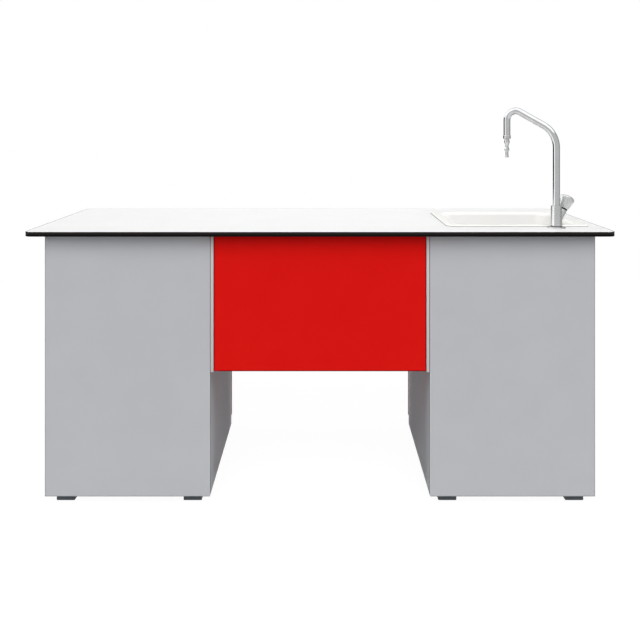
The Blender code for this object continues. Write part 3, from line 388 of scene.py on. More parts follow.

# A thin dark grey bead is drawn down the joint between each strip and its cabinet.
# Its dark grey is painted shade, for the shadow in the groove along the strip's folded corner, which it
# fills; it ends level with the strip.
JOINT_BEAD = 0.0015
JOINT_SIDE = 0.0006
JOINT_BACK = 0.00005
# Painted shade: the bead's dark grey stands in for the shadow in the groove.
painted_shade_bead_finish = surface("dark_grey_painted_shade_bead", (38, 38, 40), 0.55, 2, 500.0, 0.05, sheen=0.08)
joint_x, joint_y = low.x + JOINT_SIDE, low.y + JOINT_BEAD + JOINT_BACK
joint_bead = add_rod(JOINT_BEAD, (joint_x, joint_y, low.z), (joint_x, joint_y, high.z))
joint_bead.name = "strip_joint_bead"
freeze(joint_bead)
ease_edges(joint_bead, 0.0003)
for piece in (joint_bead, mirror_sides(joint_bead)):
    finish_piece(piece, painted_shade_bead_finish, "carcass", "light_grey_steel")

# The worktop is one board of solid-core laminate: white decor pressed on both faces of a black core.
# Its plan corners are sawn round, its edges eased, and the sink's and the tap's holes are routed.
TOP_CORNER = 0.025
TOP_EASE = 0.0006
TOP_ARRIS = 0.0022
RIM_OVERLAP = 0.0235
CUTOUT_CORNER = 0.057
SHANK_HOLE = 0.0121
top_low, top_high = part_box("worktop")
rim_low, rim_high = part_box("sink")
flange_low, flange_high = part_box("tap_flange")
tap_x, tap_y = ((flange_low + flange_high) / 2).xy

def height_share(tree, start, end):
    """How far up or down a point lies between two heights, from 0 to 1."""
    place = add_node(tree, "ShaderNodeTexCoord").outputs["Object"]
    height = add_node(tree, "ShaderNodeSeparateXYZ", {"Vector": place}).outputs["Z"]
    share = add_node(tree, "ShaderNodeMapRange", {"Value": height, "From Min": start, "From Max": end})
    return share.outputs["Result"]

def sawn_core(name):
    """The sawn edge: black resin sheets, with a painted highlight as a slightly greyer line at mid-thickness.
    """
    material, tree, shader = new_finish(name)
    bands = add_node(tree, "ShaderNodeValToRGB", {"Fac": height_share(tree, top_low.z, top_high.z)})
    stops = bands.color_ramp.elements
    stops[0].color = paint(9, 8, 9)
    stops[1].color = paint(12, 11, 12)
    # Painted highlight: a greyer line across the middle of the edge.
    for position, level in ((0.48, 14), (0.66, 46), (0.82, 14)):
        stops.new(position).color = paint(level, level - 3, level - 4)
    feed(tree, shader, {"Base Color": bands.outputs["Color"], "Specular IOR Level": 0.06})
    fibres = grain(tree, 60.0, 4.0, (1, 1, 30))
    vary_roughness(tree, fibres, shader, 0.34, 0.50)
    raise_grain(tree, fibres, shader, 0.05, 0.0003)
    return material

worktop = add_block("worktop_board", top_low, top_high)
bevel_edges(worktop, upright, TOP_CORNER, 12)
below, above = top_low.z - THROUGH, top_high.z + THROUGH
cutout = add_block("sink_cutout", (rim_low.x + RIM_OVERLAP, rim_low.y + RIM_OVERLAP, below),
                   (rim_high.x - RIM_OVERLAP, rim_high.y - RIM_OVERLAP, above))
bevel_edges(cutout, upright, CUTOUT_CORNER, 10)
cut_out(worktop, cutout)
cut_out(worktop, add_rod(SHANK_HOLE, (tap_x, tap_y, below), (tap_x, tap_y, above)))
ease_edges(worktop, TOP_EASE)
worktop.data.materials.append(sawn_core("black_sawn_core_painted_highlight"))
white_decor = surface("white_laminate_decor", (252, 252, 252), 0.40, 1, 700.0, 0.03, sheen=0.08)
face_with(worktop, white_decor, lambda centre, normal: abs(normal.z) > 0.97, TOP_ARRIS)
shade_round(worktop, 30)
mount(worktop, "carcass", "white_laminate", "worktop")

# The sink is one shell moulded in cream-white polypropylene, its rim lying on the worktop.
# The rim rolls over into an upright bowl, whose floor falls a little to the waste hole.
# A thin bead of silicone seals the joint between the rim and the worktop; its grey tone is painted shade, for
# the shadow along that joint.
SINK_WALL = 0.0047
SINK_RIM_CORNER = 0.028
SINK_RIM_WIDTH = 0.0245
SINK_ROLL = 0.012
SINK_BOWL_DEPTH = 0.200
SINK_DRAFT = 0.005
SINK_BOWL_CORNER = 0.045
SINK_FLOOR_FILLET = 0.030
SINK_FLOOR_CORNER = 0.015
SINK_FLOOR_FALL = 0.006
WASTE_HOLE = 0.021
WASTE_SEAT = 0.035
CORNER_STEPS = 11
ROLL_STEPS = 6
FILLET_STEPS = 8
BEAD_WIDTH = 0.0022
BEAD_HEIGHT = 0.0024
BEAD_GAP = 0.0002
sink_half = (rim_high.x - rim_low.x) / 2
sink_centre = (rim_low + rim_high) / 2
throat = sink_half - SINK_RIM_WIDTH
bowl_half = throat - SINK_ROLL
floor_z = rim_high.z - SINK_BOWL_DEPTH

def add_ring(half, corner, height):
    """In edit mode: adds a rounded square loop of edges, centred on the sink."""
    bpy.ops.mesh.select_all(action="DESELECT")
    bpy.ops.mesh.primitive_plane_add(size=2 * half, location=(sink_centre.x, sink_centre.y, height))
    bpy.ops.mesh.bevel(offset=corner, offset_type="OFFSET", segments=CORNER_STEPS, affect="VERTICES")
    bpy.ops.mesh.delete(type="ONLY_FACE")

def cream_with_painted_bowl_shade(name):
    """Cream polypropylene, with painted shade: the bowl below the rim is a little deeper in tone."""
    material = surface(name, (254, 253, 250), 0.34, 0, 260.0, 0.05, sheen=0.08)
    tree = material.node_tree
    shader = tree.nodes["Principled BSDF"]
    pale = shader.inputs["Base Color"].links[0].from_socket
    # Painted shade: down the bowl the cream is multiplied by a deeper tone.
    depth = height_share(tree, rim_high.z - 0.001, rim_high.z - SINK_ROLL)
    shade = add_node(tree, "ShaderNodeMix", data_type="RGBA", blend_type="MULTIPLY")
    feed(tree, shade, {"Factor": depth, "A": pale, "B": paint(233, 233, 234)})
    feed(tree, shader, {"Base Color": shade.outputs["Result"]})
    return material

rings = [(sink_half, SINK_RIM_CORNER, rim_high.z)]
for step in range(ROLL_STEPS + 1):
    turn = math.pi / 2 * step / ROLL_STEPS
    half = throat - SINK_ROLL * math.sin(turn)
    height = rim_high.z - SINK_ROLL * (1 - math.cos(turn))
    rings.append((half, SINK_BOWL_CORNER + half - bowl_half, height))
for step in range(FILLET_STEPS + 1):
    turn = math.pi / 2 * step / FILLET_STEPS
    inset = SINK_FLOOR_FILLET * (1 - math.cos(turn))
    corner = max(SINK_BOWL_CORNER - inset, SINK_FLOOR_CORNER)
    rings.append((bowl_half - SINK_DRAFT - inset, corner, floor_z + SINK_FLOOR_FILLET * (1 - math.sin(turn))))
for half in (WASTE_SEAT, WASTE_HOLE):
    rings.append((half, half - 0.0005, floor_z - SINK_FLOOR_FALL))

def loft_rings(name, rings, closed=False):
    """A skin over rounded square rings, bridged one to the next; closed joins the last to the first."""
    bpy.ops.object.select_all(action="DESELECT")
    bpy.ops.mesh.primitive_plane_add(size=2 * sink_half, location=(sink_centre.x, sink_centre.y, rim_high.z))
    skin = named(name)
    freeze(skin)
    bpy.ops.object.mode_set(mode="EDIT")
    bpy.ops.mesh.delete(type="VERT")
    ring_size = 4 * (CORNER_STEPS + 1)
    for half, corner, height in rings:
        add_ring(half, corner, height)
    pairs = [(number, number + 1) for number in range(len(rings) - 1)]
    if closed:
        pairs.append((0, len(rings) - 1))
    bpy.ops.mesh.select_mode(type="EDGE")
    for pair in pairs:
        shape = bmesh.from_edit_mesh(skin.data)
        shape.verts.ensure_lookup_table()
        for edge in shape.edges:
            owners = {vertex.index // ring_size for vertex in edge.verts}
            edge.select_set(len(owners) == 1 and owners <= set(pair))
        bmesh.update_edit_mesh(skin.data)
        bpy.ops.mesh.bridge_edge_loops()
    turn_outward()
    return skin

sink = loft_rings("sink_shell", rings)
rim_edge = Vector((rim_low.x, sink_centre.y, rim_high.z))
if min(sink.data.polygons, key=lambda face: (face.center - rim_edge).length).normal.z < 0:
    bpy.ops.object.mode_set(mode="EDIT")
    bpy.ops.mesh.select_all(action="SELECT")
    bpy.ops.mesh.flip_normals()
    bpy.ops.object.mode_set(mode="OBJECT")
give_wall(sink, SINK_WALL, -1.0)
ease_edges(sink, 0.0016, 4, 60)
cream = cream_with_painted_bowl_shade("cream_polypropylene_painted_bowl_shade")
finish_piece(sink, cream, "carcass", "cream_polypropylene", "sink", angle=40)

bead_profile = ((BEAD_WIDTH, BEAD_GAP), (BEAD_WIDTH * 0.35, BEAD_HEIGHT * 0.42),
                (BEAD_GAP, BEAD_HEIGHT), (BEAD_GAP, BEAD_GAP))
bead = loft_rings("sink_sealant_bead", [
    (sink_half + out, SINK_RIM_CORNER + out, top_high.z + up) for out, up in bead_profile
], closed=True)
# Painted shade: the silicone is given a grey tone for the shadow along the rim's joint.
silicone = surface("grey_silicone_painted_shade", (168, 168, 166), 0.45, 3, 240.0, 0.10)
finish_piece(bead, silicone, "carcass", "cream_polypropylene", angle=60)

# The bowl drains through a slotted steel waste, whose flange is bedded in the bowl's floor.
# A plastic locknut, a union nut and a bottle trap with a cup that unscrews hang on its tail.
WASTE_RADIUS = 0.0200
WASTE_BORE = 0.0172
WASTE_FLANGE = 0.0340
WASTE_GRID = 0.0020
WASTE_TAIL = 0.045
WASTE_SLOT = 0.0032
WASTE_SLOT_CIRCLE = 0.0105
WASTE_SLOTS = 6
LOCKNUT_FLATS = 0.052
NUT_RADIUS = 0.0265
NUT_GRIPS = 16
NUT_PLAY = 0.0003
TRAP_NECK = 0.026
TRAP_RADIUS = 0.034
TRAP_HEIGHT = 0.084
OUTLET_DROP = 0.0463
OUTLET_REACH = 0.100
OUTLET_RADIUS = 0.016
OUTLET_SPIGOT = 0.0135
OUTLET_COLLAR = 0.018
OUTLET_ROOT = 0.017
OUTLET_END = 0.080
CUP_RADIUS = 0.037
CUP_BAND = 0.026
CUP_NARROW = 0.031
CUP_HEIGHT = 0.046
CUP_GRIPS = 24

def spin_profile(name, profile, steps=64):
    """A turned piece about the upright axis: its profile is drawn point by point, then spun once round."""
    piece = draw_outline(name, [(radius, 0, height) for radius, height in profile])
    bpy.ops.mesh.select_all(action="SELECT")
    bpy.ops.mesh.spin(steps=steps, angle=math.tau, center=(0, 0, 0), axis=(0, 0, 1))
    bpy.ops.mesh.select_all(action="SELECT")
    bpy.ops.mesh.remove_doubles(threshold=0.00001)
    turn_outward()
    return piece

def ring_profile(*points):
    """A ring's profile, which comes back to where it starts."""
    return [*points, points[0]]

def weld(piece, other):
    """Makes one solid of two that run into each other."""
    combine(piece, other, "UNION")

def flute(piece, count, cut, distance, low, high, flare=0.0):
    """Cuts grooves round a turned piece, evenly spaced; a flare leans them outward."""
    rods = []
    for number in range(count):
        rod = add_rod(cut, (0, 0, (low - high) / 2), (0, 0, (high - low) / 2), 20)
        round_axis = Matrix.Rotation(math.tau * (number + 0.5) / count, 4, "Z")
        out = Matrix.Translation((distance, 0, (low + high) / 2))
        set_down(rod, round_axis @ out @ Matrix.Rotation(flare, 4, "Y"))
        rods.append(rod)
    for rod in rods:
        rod.select_set(True)
    bpy.ops.object.join()
    cut_out(piece, bpy.context.object)

def hexagon_nut(node, flats, bore, axis):
    """A hexagon nut with a plain bore, its corners taken off at both ends, in its solid's place."""
    low, high = (Vector((axis.x, axis.y, corner.z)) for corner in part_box(node))
    add_rod(flats / math.sqrt(3), low, high, 6)
    nut = named(node + "_hexagon")
    pick_only(nut)
    bpy.ops.transform.rotate(value=math.radians(30), orient_axis="Z", center_override=tuple((low + high) / 2))
    freeze(nut)
    reach = Vector((0, 0, THROUGH))
    cut_out(nut, add_rod(bore, low - reach, high + reach, 48))
    ease_edges(nut, 0.0006, 3)
    return nut

def metal(name, tone, roughness, spread=0.06, streak=(1, 1, 1), fine=700.0, relief=0.04):
    """Bare or plated metal, a little uneven in tone and gloss, with the fine marks of its finishing."""
    material, tree, shader = new_finish(name)
    feed(tree, shader, {"Metallic": 1.0})
    tint(tree, grain(tree, 40.0, 3.0), shader, tone, 3)
    marks = grain(tree, fine, 2.0, streak)
    vary_roughness(tree, marks, shader, roughness - spread / 2, roughness + spread / 2)
    raise_grain(tree, marks, shader, relief, 0.0001)
    return material

brushed_steel = metal("brushed_stainless_steel", (198, 199, 198), 0.30, 0.10, (1, 1, 12), 260.0, 0.06)
white_plastic = surface("white_moulded_plastic", (234, 234, 231), 0.38, 2, 300.0, 0.06)
waste_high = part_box("sink_waste")[1]
drain = Vector((sink_centre.x, sink_centre.y, waste_high.z - WASTE_GRID))
waste = spin_profile("waste_grid", [
    (0, 0.0003), (0.0170, 0.0003), (0.0215, WASTE_GRID - 0.0004), (0.0240, WASTE_GRID),
    (WASTE_FLANGE - 0.0018, WASTE_GRID), (WASTE_FLANGE, 0.0006), (WASTE_FLANGE, 0),
    (WASTE_RADIUS, 0), (WASTE_RADIUS, -WASTE_TAIL), (WASTE_BORE, -WASTE_TAIL), (WASTE_BORE, -WASTE_GRID),
    (0, -WASTE_GRID),
])
cut_out(waste, add_rod(WASTE_SLOT, (0, 0, -THROUGH), (0, 0, THROUGH)))
flute(waste, WASTE_SLOTS, WASTE_SLOT, WASTE_SLOT_CIRCLE, -THROUGH, THROUGH)
ease_edges(waste, 0.0003)
set_down(waste, Matrix.Translation(drain))
finish_piece(waste, brushed_steel, "carcass", "brushed_steel", "sink_waste")

locknut = hexagon_nut("waste_locknut", LOCKNUT_FLATS, WASTE_RADIUS + NUT_PLAY, drain)
finish_piece(locknut, white_plastic, "carcass", "white_plastic", "waste_locknut")

nut_low, nut_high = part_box("trap_union_nut")
joint = Vector((drain.x, drain.y, (nut_low.z + nut_high.z) / 2))
half = (nut_high.z - nut_low.z) / 2
union_nut = spin_profile("trap_union_nut_ribbed", ring_profile(
    (WASTE_RADIUS + NUT_PLAY, half), (NUT_RADIUS - 0.0025, half), (NUT_RADIUS, half - 0.0022),
    (NUT_RADIUS, 0.0015 - half), (NUT_RADIUS - 0.0015, -half), (WASTE_RADIUS + NUT_PLAY, -half),
), 96)
flute(union_nut, NUT_GRIPS, 0.0022, NUT_RADIUS + 0.0012, -half - 0.001, half - 0.006)
ease_edges(union_nut, 0.0004)
set_down(union_nut, Matrix.Translation(joint))
finish_piece(union_nut, white_plastic, "carcass", "white_plastic", "trap_union_nut")

trap = spin_profile("trap_bottle", [
    (0, 0), (WASTE_RADIUS, 0), (WASTE_RADIUS, 0.008 - TRAP_NECK), (TRAP_RADIUS - 0.005, -TRAP_NECK),
    (TRAP_RADIUS - 0.0015, -TRAP_NECK - 0.0018), (TRAP_RADIUS, -TRAP_NECK - 0.005),
    (TRAP_RADIUS, -TRAP_HEIGHT), (0, -TRAP_HEIGHT),
])
outlet = spin_profile("trap_outlet", [
    (0, OUTLET_END), (OUTLET_SPIGOT, OUTLET_END), (OUTLET_SPIGOT, OUTLET_REACH),
    (OUTLET_COLLAR, OUTLET_REACH), (OUTLET_COLLAR, OUTLET_END + 0.002), (OUTLET_RADIUS, OUTLET_END),
    (OUTLET_RADIUS, OUTLET_ROOT), (0, OUTLET_ROOT),
], 48)
set_down(outlet, Matrix.Translation((0, 0, -OUTLET_DROP)) @ Matrix.Rotation(math.radians(90), 4, "X"))
weld(trap, outlet)
ease_edges(trap, 0.0009, 3)
set_down(trap, Matrix.Translation(joint))
finish_piece(trap, white_plastic, "carcass", "white_plastic", "trap_body")

cup_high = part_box("trap_cup")[1]
cup = spin_profile("trap_cleaning_cup", [
    (0, 0), (CUP_RADIUS - 0.001, 0), (CUP_RADIUS, -0.001), (CUP_RADIUS, -CUP_BAND),
    (CUP_NARROW, -CUP_BAND - 0.006), (CUP_NARROW, 0.006 - CUP_HEIGHT),
    (CUP_NARROW - 0.0018, 0.0018 - CUP_HEIGHT), (CUP_NARROW - 0.006, -CUP_HEIGHT), (0, -CUP_HEIGHT),
], 96)
flute(cup, CUP_GRIPS, 0.0020, CUP_RADIUS + 0.0011, -CUP_BAND - 0.004, -0.004)
ease_edges(cup, 0.0004)
set_down(cup, Matrix.Translation((drain.x, drain.y, cup_high.z)))
finish_piece(cup, white_plastic, "carcass", "white_plastic", "trap_cup")

# The tap is of satin-chromed brass: a domed deck flange, and a body cast with an inclined branch,
# set on a black rubber seal. Its threaded shank goes down through the worktop, where a hexagon
# backnut clamps it.
FLANGE_RADIUS = 0.0288
BODY_RADIUS = 0.0170
BODY_LOW = 0.0048
BODY_TOP = 0.071
SOCKET_DEPTH = 0.030
SHANK_RADIUS = 0.0105
SHANK_LENGTH = 0.055
THREAD_START = 0.016
THREAD_PITCH = 0.0018
THREAD_DEPTH = 0.0007
INLET_BORE = 0.006
INLET_DEPTH = 0.015
SEAL_SEAT = 0.0148
BACKNUT_FLATS = 0.036
SPOUT_RADIUS = 0.0111
VALVE_SWING = math.radians(35)
VALVE_LEAN = math.radians(30)
VALVE_ROOT = 0.0045
BRANCH_ROOT = 0.0165
BRANCH_END = 0.05075
BRANCH_RADIUS = 0.0104
BONNET_RADIUS = 0.0132
BONNET_END = 0.05925
deck = Vector((tap_x, tap_y, top_high.z))
valve_place = (Matrix.Translation(deck + Vector((0, 0, VALVE_ROOT))) @ Matrix.Rotation(VALVE_SWING, 4, "Z")
               @ Matrix.Rotation(VALVE_LEAN, 4, "Y"))
satin_chrome = metal("satin_chrome_casting", (203, 204, 204), 0.27, 0.08, (1, 1, 1), 420.0, 0.03)
flange_base = flange_low.z - deck.z
flange = spin_profile("tap_deck_flange", ring_profile(
    (SHANK_RADIUS + 0.0008, 0.0045), (0.0208, 0.0045), (0.0238, 0.0041), (0.0268, 0.0033),
    (0.0283, 0.0021), (FLANGE_RADIUS, 0.0009), (FLANGE_RADIUS, flange_base),
    (SHANK_RADIUS + 0.0008, flange_base),
), 96)
set_down(flange, Matrix.Translation(deck))
finish_piece(flange, satin_chrome, "carcass", "satin_chrome", "tap_flange")

socket_floor = BODY_TOP - SOCKET_DEPTH - 0.0003
thread = []
thread_root = SHANK_RADIUS - THREAD_DEPTH
turns = int((SHANK_LENGTH - THREAD_START - 0.002) / THREAD_PITCH)
for number in range(turns):
    crest = -THREAD_START - number * THREAD_PITCH
    thread += [(SHANK_RADIUS, crest), (SHANK_RADIUS, crest - 0.0004), (thread_root, crest - 0.0011)]
body = spin_profile("tap_body_casting", [
    (0, socket_floor), (SPOUT_RADIUS + 0.0003, socket_floor), (SPOUT_RADIUS + 0.0003, BODY_TOP - 0.0006),
    (SPOUT_RADIUS + 0.0009, BODY_TOP), (BODY_RADIUS - 0.0014, BODY_TOP),
    (BODY_RADIUS - 0.0004, BODY_TOP - 0.0004), (BODY_RADIUS, BODY_TOP - 0.0014),
    (BODY_RADIUS, BODY_LOW + 0.0064), (BODY_RADIUS + 0.0006, BODY_LOW + 0.0054),
    (BODY_RADIUS + 0.0006, BODY_LOW + 0.0022), (BODY_RADIUS, BODY_LOW + 0.0016),
    (SEAL_SEAT, BODY_LOW + 0.0016), (SEAL_SEAT, BODY_LOW), (SHANK_RADIUS, BODY_LOW),
    *thread, (thread_root, -SHANK_LENGTH), (INLET_BORE, -SHANK_LENGTH),
    (INLET_BORE, INLET_DEPTH - SHANK_LENGTH), (0, INLET_DEPTH - SHANK_LENGTH),
], 72)
branch = spin_profile("tap_branch", [
    (0, BONNET_END), (BONNET_RADIUS - 0.0010, BONNET_END), (BONNET_RADIUS, BONNET_END - 0.0010),
    (BONNET_RADIUS, BRANCH_END + 0.0010), (BONNET_RADIUS - 0.0010, BRANCH_END), (0.0116, BRANCH_END),
    (BRANCH_RADIUS, BRANCH_ROOT + 0.0035), (BRANCH_RADIUS, BRANCH_ROOT), (0, BRANCH_ROOT),
], 48)
flute(branch, 6, 0.0016, BONNET_RADIUS + 0.0011, BRANCH_END - 0.002, BONNET_END + 0.002)
set_down(branch, Matrix.Translation(-deck) @ valve_place)
weld(body, branch)
set_down(body, Matrix.Translation(deck))
finish_piece(body, satin_chrome, "carcass", "satin_chrome", "tap_body")

rubber = surface("black_seal_rubber", (16, 16, 17), 0.55, 2, 500.0, 0.10)
base_seal = spin_profile("tap_base_seal", ring_profile(
    (SEAL_SEAT + 0.0001, 0.0014), (BODY_RADIUS - 0.0005, 0.0014), (BODY_RADIUS - 0.0001, 0.0010),
    (BODY_RADIUS - 0.0001, 0.0005), (BODY_RADIUS - 0.0005, 0.0001), (SEAL_SEAT + 0.0001, 0.0001),
), 72)
set_down(base_seal, Matrix.Translation(deck + Vector((0, 0, BODY_LOW))))
finish_piece(base_seal, rubber, "carcass", "black_ring")

backnut = hexagon_nut("tap_backnut", BACKNUT_FLATS, SHANK_RADIUS + NUT_PLAY, deck)
finish_piece(backnut, satin_chrome, "carcass", "satin_chrome", "tap_backnut")

# A black rubber ring seals the bonnet, and a flared knob with moulded ribs turns on the valve's stem.
# The knob is plated like the tap, with a domed cap let into its top.
RING_LOW = 0.05955
RING_RADIUS = 0.0130
RING_HEIGHT = 0.0030
STEM_RADIUS = 0.0055
KNOB_BASE = 0.06285
KNOB_SKIRT = 0.034
KNOB_DOME = 0.011
KNOB_LOW_RADIUS = 0.0155
KNOB_TOP_RADIUS = 0.0250
KNOB_CAP_RADIUS = 0.0135
KNOB_RIBS = 18
KNOB_GROOVE = 0.0026
CAP_GAP = 0.0003
DOME_STEPS = 8
knob_plate = metal("satin_plated_knob", (214, 215, 215), 0.33, 0.08, (1, 1, 1), 380.0, 0.03)
seal = spin_profile("valve_seal_ring", ring_profile(
    (STEM_RADIUS + 0.0003, RING_LOW + RING_HEIGHT), (RING_RADIUS - 0.0010, RING_LOW + RING_HEIGHT),
    (RING_RADIUS - 0.0002, RING_LOW + RING_HEIGHT - 0.0005), (RING_RADIUS, RING_LOW + RING_HEIGHT / 2),
    (RING_RADIUS - 0.0002, RING_LOW + 0.0005), (RING_RADIUS - 0.0010, RING_LOW),
    (STEM_RADIUS + 0.0003, RING_LOW),
), 64)
set_down(seal, valve_place)
finish_piece(seal, rubber, "carcass", "black_ring", "valve_ring")
dome = []
for step in range(DOME_STEPS + 1):
    turn = math.pi / 2 * step / DOME_STEPS
    dome.append((KNOB_TOP_RADIUS * math.sin(turn), KNOB_BASE + KNOB_SKIRT + KNOB_DOME * math.cos(turn)))
knob = spin_profile("valve_hand_knob", [
    *dome, (KNOB_LOW_RADIUS, KNOB_BASE + 0.0010), (KNOB_LOW_RADIUS - 0.0010, KNOB_BASE),
    (STEM_RADIUS, KNOB_BASE), (STEM_RADIUS, RING_LOW + 0.0003), (0, RING_LOW + 0.0003),
], 144)
knob_flare = math.atan2(KNOB_TOP_RADIUS - KNOB_LOW_RADIUS, KNOB_SKIRT)
knob_middle = (KNOB_TOP_RADIUS + KNOB_LOW_RADIUS) / 2 + 0.0014
rib_middle = KNOB_BASE + KNOB_SKIRT / 2
flute(knob, KNOB_RIBS, KNOB_GROOVE, knob_middle, rib_middle - 0.027, rib_middle + 0.027, knob_flare)
cap_height = KNOB_BASE + KNOB_SKIRT + KNOB_DOME * math.sqrt(1 - (KNOB_CAP_RADIUS / KNOB_TOP_RADIUS) ** 2)
cut_out(knob, spin_profile("cap_joint", ring_profile(
    (KNOB_CAP_RADIUS - CAP_GAP, cap_height - 0.0006), (KNOB_CAP_RADIUS + CAP_GAP, cap_height - 0.0006),
    (KNOB_CAP_RADIUS + CAP_GAP, cap_height + 0.0020), (KNOB_CAP_RADIUS - CAP_GAP, cap_height + 0.0020),
), 96))
ease_edges(knob, 0.0004, 2, 40)
set_down(knob, valve_place)
finish_piece(knob, knob_plate, "hand_knob", "satin_chrome", "valve_knob")

# The swan neck is one bent and plated tube, which swivels in the body's socket.
# A collar closes its outlet, and a turned nozzle with barbs for a rubber hose screws into it.
SPOUT_REACH = 0.166
SPOUT_CORNER = 0.3006
SPOUT_SLOPE = math.radians(28.4)
SPOUT_BENDS = (0.080, 0.030)
SPOUT_SWING = math.radians(35)
OUTLET_HEIGHT = 0.2794
COLLAR_RADIUS = 0.0123
COLLAR_HEIGHT = 0.0115
NOZZLE_BARBS = (
    (0.0078, 0.0000), (0.0078, 0.0036), (0.0090, 0.0084), (0.0089, 0.0114), (0.0056, 0.0198),
    (0.0053, 0.0264), (0.0068, 0.0300), (0.0078, 0.0342), (0.0076, 0.0372), (0.0050, 0.0408),
    (0.0049, 0.0540), (0.0060, 0.0564),
    (0.0060, 0.0585), (0.0052, 0.0600), (0.0032, 0.0600), (0.0032, 0.0450),
)

def bent_bar(name, corners, bends, radius, sides=40, steps=16):
    """A round bar: a circle extruded along each straight run, spun round each bend and closed at its ends."""
    corners = [Vector(corner) for corner in corners]
    heading = (corners[1] - corners[0]).normalized()
    bpy.ops.object.select_all(action="DESELECT")
    bpy.ops.mesh.primitive_circle_add(vertices=sides, radius=radius, fill_type="NOTHING", location=corners[0],
                                      rotation=heading.to_track_quat("Z", "Y").to_euler())
    bar = named(name)
    freeze(bar)
    bpy.ops.object.mode_set(mode="EDIT")
    bpy.ops.mesh.select_mode(type="EDGE")
    bpy.ops.mesh.select_all(action="SELECT")
    here = corners[0]
    for number, bend in enumerate(bends, start=1):
        corner = corners[number]
        before = (corners[number - 1] - corner).normalized()
        after = (corners[number + 1] - corner).normalized()
        half = before.angle(after) / 2
        bend_start = corner + before * bend / math.tan(half)
        middle = corner + (before + after).normalized() * bend / math.sin(half)
        bpy.ops.mesh.extrude_region_move(TRANSFORM_OT_translate={"value": bend_start - here})
        bpy.ops.mesh.spin(steps=steps, angle=math.pi - 2 * half, center=middle, axis=before.cross(after))
        here = corner + after * bend / math.tan(half)
    bpy.ops.mesh.extrude_region_move(TRANSFORM_OT_translate={"value": corners[-1] - here})
    bpy.ops.mesh.edge_face_add()
    select_edges(bar, lambda start, end: abs((start - corners[0]).dot(heading)) < 1e-6
                 and abs((end - corners[0]).dot(heading)) < 1e-6)
    bpy.ops.mesh.edge_face_add()
    bpy.ops.mesh.select_all(action="SELECT")
    bpy.ops.mesh.remove_doubles(threshold=0.00001)
    turn_outward()
    return bar

chrome = metal("bright_chrome_plate", (203, 204, 205), 0.12, 0.04, (1, 1, 1), 500.0, 0.02)
spout_place = Matrix.Translation(deck) @ Matrix.Rotation(math.pi - SPOUT_SWING, 4, "Z")
outlet_corner = SPOUT_CORNER + SPOUT_REACH * math.tan(SPOUT_SLOPE)
swan_neck = bent_bar("swan_neck_tube", [
    (0, 0, BODY_TOP - SOCKET_DEPTH), (0, 0, SPOUT_CORNER), (SPOUT_REACH, 0, outlet_corner),
    (SPOUT_REACH, 0, OUTLET_HEIGHT + COLLAR_HEIGHT / 2),
], SPOUT_BENDS, SPOUT_RADIUS, 64, 24)
collar = spin_profile("outlet_collar", [
    (0, COLLAR_HEIGHT), (COLLAR_RADIUS - 0.0008, COLLAR_HEIGHT), (COLLAR_RADIUS, COLLAR_HEIGHT - 0.0008),
    (COLLAR_RADIUS, 0.0008), (COLLAR_RADIUS - 0.0008, 0), (0, 0),
])
set_down(collar, Matrix.Translation((SPOUT_REACH, 0, OUTLET_HEIGHT)))
weld(swan_neck, collar)
set_down(swan_neck, spout_place)
finish_piece(swan_neck, chrome, "swan_neck", "satin_chrome", "spout")

nozzle_edge = [(radius, -depth) for radius, depth in NOZZLE_BARBS]
nozzle = spin_profile("hose_nozzle_turned", [(0, 0), *nozzle_edge, (0, -0.0450)])
ease_edges(nozzle, 0.0005, 3, 25)
set_down(nozzle, spout_place @ Matrix.Translation((SPOUT_REACH, 0, OUTLET_HEIGHT - 0.0003)))
finish_piece(nozzle, chrome, "swan_neck", "satin_chrome", "hose_nozzle", angle=40)

# Each door turns on two pressed-steel butt hinges, screwed on the outside of the cabinet's corner.
# The knuckles are rolled round a pin that is riveted in the fixed half.
HINGE_HALF = 0.030
HINGE_KNUCKLES = 5
HINGE_RADIUS = 0.0035
HINGE_PIN = 0.0016
HINGE_SHEET = 0.0015
HINGE_CLEAR = 0.0004
HINGE_FIXED_LEAF = 0.028
HINGE_DOOR_LEAF = 0.017
HINGE_LEAF_CORNER = 0.003
HINGE_HOLE = 0.0019
HINGE_DRILL = 0.004
KNUCKLE_GAP = 0.00015
HINGE_SCREWS = (-0.0215, 0, 0.0215)

